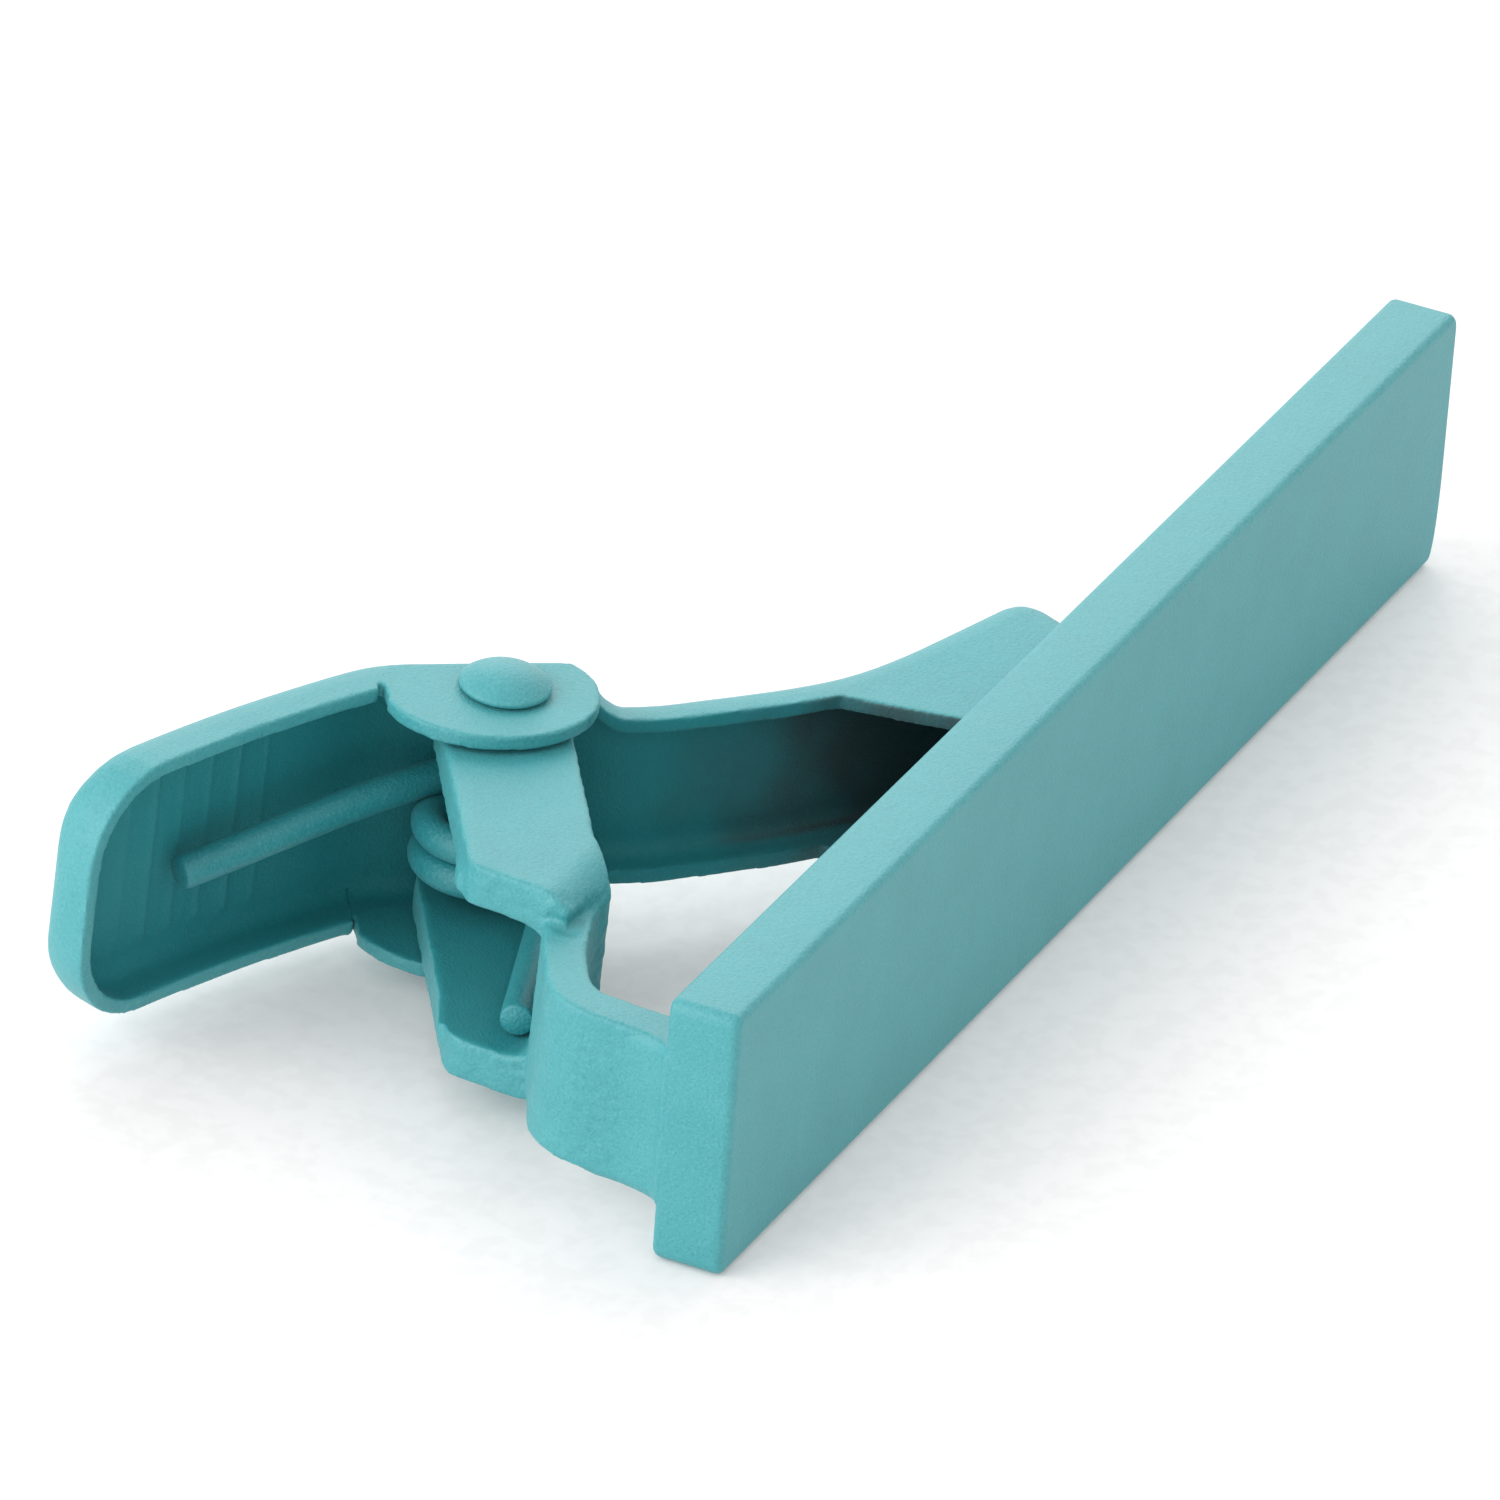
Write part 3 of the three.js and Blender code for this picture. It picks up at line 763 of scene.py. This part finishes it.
@dataclass
class SolderSeam:
    """Solder run in round the clasp's foot, smooth and slightly lumpy under the paint."""

    clasp: ClaspFrame
    foot: tuple[float, float] = (0.45, 1.45)
    height: float = 3.8
    reach: float = 0.44
    climb: float = 2.3
    sink: float = 0.07
    root: float = 0.30
    steps: int = 8
    least_rise: float = 0.02
    end_reach: float = 0.03
    end_run: float = 0.2
    end_height: float = 0.72
    end_width: float = 0.888
    cell: float = 0.05
    passes: int = 8
    lump_height: float = 0.014
    lump_size: float = 0.9

    def profile(self) -> list[tuple[float, float]]:
        """The seam seen along the bar's width: a block under two hollow fillets."""
        near, far = self.foot
        side = []
        for step in range(self.steps + 1):
            angle = math.pi / 2 * step / self.steps
            side.append(((self.reach + self.sink) * (1 - math.sin(angle)) - self.sink,
                         max(self.climb * (1 - math.cos(angle)), self.least_rise)))
        right = [(far + away, up) for away, up in side]
        left = [(near - away, up) for away, up in reversed(side)]
        return [(near - self.reach, -self.root), (far + self.reach, -self.root), *right, *left]

    def build(self, finish: SprayedPaint) -> bpy.types.Object:
        """Makes the seam and lets it stand for the CAD fillet.

        Args:
            finish: The paint.

        Returns:
            The seam.
        """
        half = self.height / 2 + self.end_reach
        middle = sum(self.foot) / 2
        whole, end = (1.0, 1.0), (self.end_width, self.end_height)
        rings = []
        for z, (wide, high) in (
                (-half, end), (self.end_run - half, whole), (half - self.end_run, whole), (half, end)):
            rings.append([(middle + (x - middle) * wide, y * high, z) for x, y in self.profile()])
        form = Form().skin(rings, (middle, 0.0, -half), (middle, 0.0, half))
        plain = form.mesh("plain_seam", self.clasp.upright())
        mesh = softened(plain, "solder_seam", self.cell, self.passes)
        bpy.data.meshes.remove(plain)
        raise_surface(mesh, self.lump_height * ripple(corners_of(mesh), self.lump_size, seed=3.7))
        made = add_piece("solder_seam", mesh, finish.material())
        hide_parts("solder_fillet")
        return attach(made, Body.FRAME.value)


@dataclass
class ClaspBracket:
    """The bent strip with the J tongue and the two ears, its cut edges rough under the paint."""

    clasp: ClaspFrame
    cell: float = 0.055
    first_passes: int = 3
    last_passes: int = 9
    inner_half: float = 1.65
    web_back: float = 4.8
    near_edge: float = 3.27

    # The tongue's bend, which swells a little, and the pocket between it and the web.
    tongue_rise: float = 22.0
    tongue_back: float = 4.39
    bulge: float = 0.17
    bulge_start: Band = (1.5, 3.0)
    bulge_end: Band = (5.0, 3.6)
    bulge_side: Band = (2.35, 1.95)
    pocket_side: float = 1.67
    pocket_back: float = 5.0

    # The ears' outline.
    ear_width: float = 2.89
    ear_direction: float = 32.5
    ear_corner: float = 0.85

    # The painted shade: past the inner half, past the web's back, and on faces turned how.
    shade_side: Band = (0.12, -0.05)
    shade_back: Band = (-0.1, 0.1)
    web_facing: Band = (0.3, 0.7)
    ear_facing: Band = (0.5, 0.9)

    # Relief of the cut edges, of the whole sheet, and of the crumpled corner at each ear.
    cut_facing: Band = (0.80, 0.30)
    cut_roughness: float = 0.022
    cut_size: float = 0.20
    wave_height: float = 0.0132
    wave_size: float = 0.8
    crumple: float = 0.12
    crumple_place: Point = (3.42, 4.15, 2.0)
    crumple_reach: Point = (0.55, 0.75, 0.42)
    fold_size: float = 0.34
    fold_squeeze: Point = (1.0, 0.6, 1.5)

    def bulge_tongue(self, points: np.ndarray) -> np.ndarray:
        """Fills the tongue's bend out and lets it run straight up into the web.

        Args:
            points: Corners in the clasp's frame, in mm.

        Returns:
            The moved corners.
        """
        moved = points.copy()
        x, height = points[:, 0], np.abs(points[:, 2])
        full = smoothstep(x, *self.bulge_start) * smoothstep(x, *self.bulge_end)
        moved[:, 1] += self.bulge * full * smoothstep(height, *self.bulge_side)
        slope = math.tan(math.radians(self.tongue_rise))
        line = self.tongue_back + self.bulge + (x - self.near_edge) * slope
        over = (height < self.pocket_side) & (moved[:, 1] > line) & (moved[:, 1] < self.pocket_back)
        moved[:, 1] = np.where(over, line, moved[:, 1])
        return moved

    def round_ears(self, points: np.ndarray) -> np.ndarray:
        """Rounds the corner where each ear's long edge meets its near edge.

        Args:
            points: Corners in the clasp's frame, in mm.

        Returns:
            The moved corners.
        """
        first, second = towards(180.0), towards(self.ear_direction + 90.0)
        reach = np.array(self.clasp.pivot) @ second + self.ear_width / 2
        corner = np.linalg.solve(np.array((first, second)), np.array((-self.near_edge, reach)))
        sides = np.array((first, second)).T
        centre = corner - np.linalg.solve(sides.T, np.full(2, self.ear_corner))
        away = points[:, :2] - centre
        shares = np.linalg.solve(sides, away.T).T
        length = np.hypot(away[:, 0], away[:, 1])
        outside = (shares > 0).all(1) & (length > self.ear_corner)
        moved = points.copy()
        moved[:, :2] = np.where(
            outside[:, None], centre + away / np.maximum(length, 1e-6)[:, None] * self.ear_corner,
            moved[:, :2])
        return moved

    def painted_shade(self, points: np.ndarray, facing: np.ndarray) -> np.ndarray:
        """Painted shade between the two ears, strongest towards the coil.

        Args:
            points: Corners in the clasp's frame, in mm.
            facing: Their normals in the same frame.

        Returns:
            0 on the outer faces, 1 deep between the ears.
        """
        inner, outer = (self.inner_half + past for past in self.shade_side)
        near, far = (self.web_back + past for past in self.shade_back)
        web = smoothstep(np.abs(points[:, 2]), inner, outer) * smoothstep(facing[:, 1], *self.web_facing)
        ears = inner_flanks(points, facing, self.ear_facing)
        return np.clip((web + ears) * smoothstep(points[:, 1], near, far), 0.0, 1.0)

    def build(self, finish: SprayedPaint) -> bpy.types.Object:
        """Makes the bracket and lets it stand for the CAD bracket.

        Args:
            finish: The paint.

        Returns:
            The bracket.
        """
        mesh = softened(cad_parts["bracket"].data, "clasp_bracket", self.cell,
                        self.first_passes)
        points = self.round_ears(self.bulge_tongue(self.clasp.own(corners_of(mesh))))
        place_corners(mesh, self.clasp.back(points))
        relax(mesh, self.last_passes)
        points = self.clasp.own(corners_of(mesh))
        facing = self.clasp.own_directions(normals_of(mesh))
        # Painted shade between the ears.
        write_attribute(mesh, finish.painted_shade_attribute, self.painted_shade(points, facing))
        cut = smoothstep(np.abs(facing[:, 2]), *self.cut_facing)
        height = self.cut_roughness * cut * ripple(points, self.cut_size, seed=1.3)
        height += self.wave_height * ripple(points, self.wave_size, seed=8.1)
        away = np.column_stack((points[:, :2], np.abs(points[:, 2]))) - self.crumple_place
        torn = np.exp(-((away / self.crumple_reach) ** 2).sum(1))
        folds = ripple(points * self.fold_squeeze, self.fold_size, seed=6.6)
        raise_surface(mesh, height + self.crumple * torn * folds)
        made = add_piece("clasp_bracket", mesh, finish.material())
        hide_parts("bracket")
        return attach(made, Body.FRAME.value)


@dataclass
class PivotRivet:
    """The rivet: a shank through ears and lugs, and a low domed head at each end."""

    clasp: ClaspFrame
    shank: float = 0.44
    head: float = 1.02
    dome: float = 0.50
    rim: float = 0.11
    rim_straight: float = 0.088
    under_edge: tuple[float, float] = (0.05, 0.04)
    seat: float = 3.19
    facets: int = 56
    steps: int = 12

    def profile(self) -> list[tuple[float, float]]:
        """Radius and height pairs of the upper half, from the shank to the crown."""
        run, lift = self.under_edge
        points = [(self.shank, 0.0), (self.shank, self.seat), (self.head - run, self.seat),
                  (self.head, self.seat + lift), (self.head, self.seat + self.rim_straight)]
        rise = self.dome - self.rim
        crown = (self.head ** 2 + rise ** 2) / (2 * rise)
        for step in range(1, self.steps):
            radius = self.head * math.cos(math.pi / 2 * step / self.steps)
            height = math.sqrt(crown ** 2 - radius ** 2) - (crown - self.dome)
            points.append((radius, self.seat + height))
        return points

    def build(self, finish: SprayedPaint) -> bpy.types.Object:
        """Makes the rivet and lets it stand for the CAD rivet.

        Args:
            finish: The paint.

        Returns:
            The rivet.
        """
        upper = self.profile()
        whole = [(radius, -height) for radius, height in reversed(upper[1:])] + upper
        x, y = self.clasp.pivot
        rings = [[(x + radius * across, y + radius * up, height) for across, up in circle(self.facets)]
                 for radius, height in whole]
        end = self.seat + self.dome
        form = Form().skin(rings, (x, y, -end), (x, y, end))
        made = add_piece("pivot_rivet", form.mesh("pivot_rivet", self.clasp.matrix()), finish.material())
        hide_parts("rivet")
        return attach(made, Body.FRAME.value)


@dataclass
class CoilSpring:
    """One wire: a short leg on the bracket's web, two turns and more, a long arm on the handle."""

    clasp: ClaspFrame
    wire: float = 0.77
    coil_radius: float = 1.46
    centre: tuple[float, float] = (9.187, 8.441)
    pitch: float = 0.78
    bottom: float = -1.21
    leg_point: tuple[float, float] = (4.02, 5.21)
    arm_angle: float = 59.2
    extra_turns: int = 2
    arm_length: float = 7.15
    arm_drop: float = 1.2
    drop_run: float = 10.01
    flex_heading: float = 120.0
    flex_stretch: tuple[float, float] = (0.8, 2.6)
    facets: int = 18
    spacing: float = 0.09
    end_width: tuple[float, float] = (0.86, 0.97)
    end_step: float = 0.03

    def leg(self) -> tuple[float, float]:
        """The angle at which the short leg leaves the coil, and the leg's length."""
        offset = Vector(self.leg_point) - Vector(self.centre)
        reach = math.sqrt(offset.length_squared - self.coil_radius ** 2)
        angle = math.atan2(offset.y, offset.x) + math.acos(self.coil_radius / offset.length)
        return angle, reach

    def path(self) -> list[Vector]:
        """The wire's middle line in the clasp's frame, in mm."""
        start, reach = self.leg()
        sweep = (math.radians(self.arm_angle) - start) % (2 * math.pi) + self.extra_turns * 2 * math.pi
        turns = sweep * self.coil_radius
        top = self.bottom + self.pitch * sweep / (2 * math.pi)
        total = reach + turns + self.arm_length
        count = int(total / self.spacing)
        points = []
        for place in range(count + 1):
            along = total * place / count
            wound = min(max((along - reach) / turns, 0.0), 1.0)
            angle = start + sweep * wound
            past = max(along - reach - turns, 0.0) + min(along - reach, 0.0)
            x = self.centre[0] + self.coil_radius * math.cos(angle) - past * math.sin(angle)
            y = self.centre[1] + self.coil_radius * math.sin(angle) + past * math.cos(angle)
            share = min(max(past, 0.0) / self.drop_run, 1.0)
            drop = self.arm_drop * share * share * (3 - 2 * share)
            points.append(Vector((x, y, self.bottom + (top - self.bottom) * wound - drop)))
        return points

    def rings(self) -> tuple[list[list[Point]], Point, Point]:
        """Round sections along the path, with broken edges at the two cut ends.

        Returns:
            The rings, and the middles of the first and the last end.
        """
        path = self.path()
        side = Vector((0.0, 0.0, 1.0))
        rings = []
        for place, point in enumerate(path):
            ahead = (path[min(place + 1, len(path) - 1)] - path[max(place - 1, 0)]).normalized()
            side = (side - ahead * side.dot(ahead)).normalized()
            other = ahead.cross(side)
            widths = {0: self.end_width, len(path) - 1: self.end_width[::-1]}.get(place, (1.0,))
            for step, width in enumerate(widths):
                middle = point + ahead * (self.end_step * step)
                radius = self.wire / 2 * width
                rings.append([tuple(middle + side * (radius * across) + other * (radius * up))
                              for across, up in circle(self.facets)])
        return rings, tuple(path[0]), tuple(path[-1] + ahead * self.end_step)

    def build(self, finish: SprayedPaint) -> bpy.types.Object:
        """Makes the spring and lets it stand for the CAD spring.

        Args:
            finish: The paint.

        Returns:
            The spring.
        """
        form = Form().skin(*self.rings())
        made = add_piece("coil_spring", form.mesh("coil_spring", self.clasp.matrix()), finish.material())
        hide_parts("torsion_spring")
        leaves = np.array(self.centre) + self.coil_radius * towards(self.arm_angle)
        start, end = (self.clasp.row((*(leaves + run * towards(self.flex_heading)), 0.0))
                      for run in self.flex_stretch)
        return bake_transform(made)


@dataclass
class ThumbLever:
    """The pressed lever: thumb handle with ribs inside, lugs, neck, and jaw, with painted shade in the
    channel and a dark tone deep within, partly thin paint and partly painted shade.
    """

    clasp: ClaspFrame
    cell: float = 0.048
    passes: int = 6

    # The line of the handle's back: distance and heading at the pivot, a straight run, and
    # two bends, each with its length and its turn.
    web_distance: float = 1.67
    back_heading: float = 128.0
    straight: float = 1.9
    shoulder: tuple[float, float] = (1.5, 25.0)
    handle: tuple[float, float] = (8.45, 12.0)

    # The nick between handle and lower lug, and the sheet's faint waves.
    nick: float = 2.7
    nick_closed: float = 0.064
    nick_reach: float = 0.32
    nick_below: float = -2.6
    wave_height: float = 0.006
    wave_size: float = 1.7

    # The ribs across the handle's inside.
    rib_count: int = 8
    rib_spacing: float = 0.80
    rib_height: float = 0.075
    first_rib: float = 7.75
    rib_side: Band = (2.35, 2.00)
    rib_start: Band = (-0.5, -0.1)
    rib_facing: Band = (0.75, 0.95)
    rib_depth: tuple[float, float] = (0.2, 0.6)
    rib_unevenness: float = 0.25
    rib_pattern: tuple[float, float] = (2.3, 0.7)
    rib_sharpness: float = 2.2

    # Thin paint and painted shade deep inside the neck and the jaw: a dark bare-metal tone.
    thin_run: Band = (12.6, 17.2)
    thin_web: Point = (-0.60, -0.80, 0.0)
    thin_web_facing: Band = (0.25, 0.75)
    thin_flank: float = 0.7
    thin_flank_facing: Band = (0.6, 0.95)
    thin_wander: float = 0.9
    thin_patch: float = 1.1

    # Painted shade inside the channel: how the handle's and the neck's insides face, and
    # how far in from the handle's back it starts.
    shade_headings: tuple[float, float] = (-24.0, -42.0)
    shade_web_facing: Band = (0.55, 0.85)
    shade_flank_facing: Band = (0.4, 0.8)
    shade_rim: Band = (1.30, 0.95)
    shade_low_lug: float = 0.85

    def handle_centre(self) -> tuple[np.ndarray, float]:
        """Centre and radius of the arc that the handle's web follows."""
        outward = towards(self.back_heading - 90.0)
        point = self.clasp.pivot + self.web_distance * outward + self.straight * towards(self.back_heading)
        run, turn = self.shoulder
        turned = towards(self.back_heading + turn - 90.0)
        point = point + run / math.radians(turn) * (turned - outward)
        run, turn = self.handle
        radius = run / math.radians(turn)
        return point - radius * turned, radius

    def along_handle(self, points: np.ndarray) -> tuple[np.ndarray, np.ndarray]:
        """Distance along the handle's web and depth inside its outer face, in mm."""
        centre, radius = self.handle_centre()
        away = points[:, :2] - centre
        start = math.radians(self.back_heading + self.shoulder[1] - 90.0)
        angle = np.mod(np.arctan2(away[:, 1], away[:, 0]) - start + math.pi, 2 * math.pi) - math.pi
        return angle * radius, radius - np.hypot(away[:, 0], away[:, 1])

    def close_low_nick(self, points: np.ndarray) -> np.ndarray:
        """Presses the nick between handle and lower lug almost shut.

        Args:
            points: Corners in the clasp's frame, in mm.

        Returns:
            The moved corners.
        """
        ahead = towards(self.back_heading)
        along = (points[:, :2] - self.clasp.pivot) @ ahead - self.nick
        stretch = self.nick_reach / (self.nick_reach - self.nick_closed)
        kept = np.sign(along) * np.maximum(np.abs(along) - self.nick_closed, 0.0) * stretch
        held = (np.abs(along) < self.nick_reach) & (points[:, 2] < self.nick_below)
        moved = points.copy()
        moved[:, :2] += np.where(held, kept - along, 0.0)[:, None] * ahead
        return moved

    def ribs(self, points: np.ndarray, facing: np.ndarray) -> np.ndarray:
        """Height of the ribs pressed into the handle's inner face.

        Args:
            points: Corners in the clasp's frame, in mm.
            facing: Their normals in the same frame.

        Returns:
            The height at each corner, in mm.
        """
        along, depth = self.along_handle(points)
        centre, _ = self.handle_centre()
        inward = centre - points[:, :2]
        inward /= np.linalg.norm(inward, axis=1)[:, None]
        nearest, deepest = self.rib_depth
        inside = smoothstep((facing[:, :2] * inward).sum(1), *self.rib_facing)
        inside *= (depth > nearest) & (depth < deepest)
        inside *= smoothstep(np.abs(points[:, 2]), *self.rib_side)
        last = self.first_rib - self.rib_spacing * (self.rib_count - 1)
        inside *= smoothstep(along - last, *self.rib_start)
        place = (self.first_rib - along) / self.rib_spacing
        stride, shift = self.rib_pattern
        uneven = 1 - self.rib_unevenness * (1 - np.sin(np.round(place) * stride + shift))
        crest = (1 - np.abs(np.sin(math.pi * place))) ** self.rib_sharpness
        return self.rib_height * inside * uneven * crest

    def thin_paint_and_shade(self, points: np.ndarray, facing: np.ndarray) -> np.ndarray:
        """Deep inside the neck and the jaw: a dark tone, partly thin paint where the spray hardly reached
        and partly painted shade.

        Args:
            points: Corners in the clasp's frame, in mm.
            facing: Their normals in the same frame.

        Returns:
            0 where the paint is full, 1 where the dark tone is strongest.
        """
        web = smoothstep(facing @ self.thin_web, *self.thin_web_facing)
        flank = self.thin_flank * inner_flanks(points, facing, self.thin_flank_facing)
        wander = self.thin_wander * ripple(points, self.thin_patch, seed=5.2)
        deep = smoothstep(points[:, 0] + wander, *self.thin_run)
        return np.clip((web + flank) * deep, 0.0, 1.0)

    def painted_shade(self, points: np.ndarray, facing: np.ndarray) -> np.ndarray:
        """Painted shade, deeper in tone, on the inside of the channel.

        Args:
            points: Corners in the clasp's frame, in mm.
            facing: Their normals in the same frame.

        Returns:
            0 on the outer faces, 1 well inside.
        """
        _, depth = self.along_handle(points)
        in_handle = points[:, 0] < self.clasp.pivot[0]
        heading = np.radians(np.where(in_handle, *self.shade_headings))
        inward = facing[:, 0] * np.sin(heading) - facing[:, 1] * np.cos(heading)
        flank = inner_flanks(points, facing, self.shade_flank_facing)
        inner = smoothstep(inward, *self.shade_web_facing) + flank
        reached = np.where(in_handle, smoothstep(depth, *self.shade_rim), 1.0)
        return np.clip(inner * reached + self.shade_low_lug * flank * (points[:, 2] < 0), 0.0, 1.0)

    def build(self, finish: SprayedPaint) -> bpy.types.Object:
        """Makes the lever and lets it stand for the CAD lever.

        Args:
            finish: The paint, with the names of both attributes.

        Returns:
            The lever.
        """
        mesh = softened(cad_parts["lever"].data, "thumb_lever", self.cell, self.passes)
        place_corners(mesh, self.clasp.back(self.close_low_nick(self.clasp.own(corners_of(mesh)))))
        points = self.clasp.own(corners_of(mesh))
        facing = self.clasp.own_directions(normals_of(mesh))
        # A dark tone deep in the neck and jaw, partly thin paint and partly painted shade; then painted
        # shade in the channel.
        write_attribute(mesh, finish.thin_and_shade_attribute, self.thin_paint_and_shade(points, facing))
        write_attribute(mesh, finish.painted_shade_attribute, self.painted_shade(points, facing))
        waves = self.wave_height * ripple(points, self.wave_size, seed=2.4)
        raise_surface(mesh, self.ribs(points, facing) + waves)
        made = add_piece("thumb_lever", mesh, finish.material())
        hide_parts("lever")
        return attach(made, Body.LEVER.value)


# ------------------------------------------------------------------------------ studio


@dataclass(frozen=True)
class SoftLamp:
    """A square soft lamp that looks at the clip."""

    name: str
    place: Point
    target: Point
    size: float
    power: float
    colour: Colour = (1.0, 1.0, 1.0)

    def build(self) -> bpy.types.Object:
        """Makes the lamp; its place, target and size are in mm."""
        data = bpy.data.lights.new(self.name, "AREA")
        data.shape = "SQUARE"
        data.size = self.size * MM
        data.energy = self.power
        data.color = self.colour
        lamp = bpy.data.objects.new(self.name, data)
        place, target = Vector(self.place) * MM, Vector(self.target) * MM
        lamp.location = place
        lamp.rotation_mode = "QUATERNION"
        lamp.rotation_quaternion = (target - place).to_track_quat("-Z", "Y")
        bpy.context.scene.collection.objects.link(lamp)
        return lamp


@dataclass(frozen=True)
class Viewpoint:
    """A long lens a good arm's length away, looking down along the bar."""

    place: Point = (-315.78, -128.45, 188.44)
    azimuth: float = 23.445
    elevation: float = 28.934
    roll: float = 4.375
    lens: float = 424.9
    clip: tuple[float, float] = (0.01, 20.0)

    def build(self) -> bpy.types.Object:
        """Makes the scene's camera.

        Returns:
            The camera.
        """
        turn, tilt, roll = (math.radians(a) for a in (self.azimuth, self.elevation, self.roll))
        forward = Vector((
            math.cos(tilt) * math.cos(turn), math.cos(tilt) * math.sin(turn), -math.sin(tilt)))
        level = forward.cross(Vector((0.0, 0.0, 1.0))).normalized()
        upright = level.cross(forward)
        right = level * math.cos(roll) + upright * math.sin(roll)
        up = right.cross(forward)
        data = bpy.data.cameras.new("camera")
        data.lens = self.lens
        data.clip_start, data.clip_end = self.clip
        camera = bpy.data.objects.new("camera", data)
        basis = Matrix((right, up, -forward)).transposed().to_4x4()
        camera.matrix_world = Matrix.Translation(Vector(self.place) * MM) @ basis
        bpy.context.scene.collection.objects.link(camera)
        bpy.context.scene.camera = camera
        return camera


@dataclass
class Studio:
    """White card under the clip, an even white room and two large soft lamps behind the clip."""

    floor_half: float = 1500.0
    floor_cells: int = 12
    room_light: float = 0.92
    lamps: tuple[SoftLamp, ...] = (
        SoftLamp("back_softbox", (330.0, 150.0, 260.0), (-2.0, 4.0, 0.0), 420.0, 1.02),
        SoftLamp("side_softbox", (-270.0, 200.0, 150.0), (0.0, 4.0, 0.0), 300.0, 0.98),
    )
    viewpoint: Viewpoint = Viewpoint()
    card: PaperFloor = PaperFloor()

    def build_floor(self, level: float) -> bpy.types.Object:
        """Lays the card.

        Args:
            level: Height of the card, in metres.

        Returns:
            The floor.
        """
        mesh = bpy.data.meshes.new("floor_card")
        work = bmesh.new()
        bmesh.ops.create_grid(work, x_segments=self.floor_cells, y_segments=self.floor_cells,
                              size=self.floor_half * MM)
        bmesh.ops.translate(work, verts=work.verts, vec=(0.0, 0.0, level))
        work.to_mesh(mesh)
        work.free()
        floor = add_piece("floor_card", mesh, self.card.material())
        return floor

    def build(self, level: float) -> None:
        """Sets up floor, room light, lamps and camera.

        Args:
            level: Height of the floor, in metres.
        """
        self.build_floor(level)
        world = bpy.data.worlds.new("white_room")
        world.use_nodes = True
        background = world.node_tree.nodes["Background"]
        background.inputs["Color"].default_value = (1.0, 1.0, 1.0, 1.0)
        background.inputs["Strength"].default_value = self.room_light
        scene = bpy.context.scene
        scene.world = world
        scene.view_settings.view_transform = "Standard"
        for lamp in self.lamps:
            lamp.build()
        self.viewpoint.build()


# -------------------------------------------------------------------------------- main


def main() -> None:
    """Builds the clip piece by piece, then the studio round it."""
    logging.basicConfig(level=logging.INFO, format="%(name)s %(message)s")
    bar = FrontBar()
    clasp = ClaspFrame(bar)
    bar.build(SprayedPaint("bar_paint", pit_spacing=2.6))
    SolderSeam(clasp).build(SprayedPaint("seam_paint", lump_depth=0.012))
    ClaspBracket(clasp).build(SprayedPaint(
        "bracket_paint", lump_depth=0.010, peel_depth=0.008, painted_shade_attribute="painted_shade"))
    PivotRivet(clasp).build(SprayedPaint("rivet_paint"))
    # The spring's paint is a darker copy of the teal: painted shade for a coil and arm that lie between
    # the ears and inside the handle.
    CoilSpring(clasp).build(SprayedPaint(
        "spring_paint_and_shade", colour=(0.012, 0.235, 0.265), pale=(0.020, 0.260, 0.285), drag_depth=0.003))
    ThumbLever(clasp).build(SprayedPaint(
        "lever_paint", drag_depth=0.005, thin_and_shade_attribute="thin_paint_and_shade", painted_shade_attribute="painted_shade"))
    Studio().build(CAD_BOX[0].z)


if __name__ == "__main__":
    main()
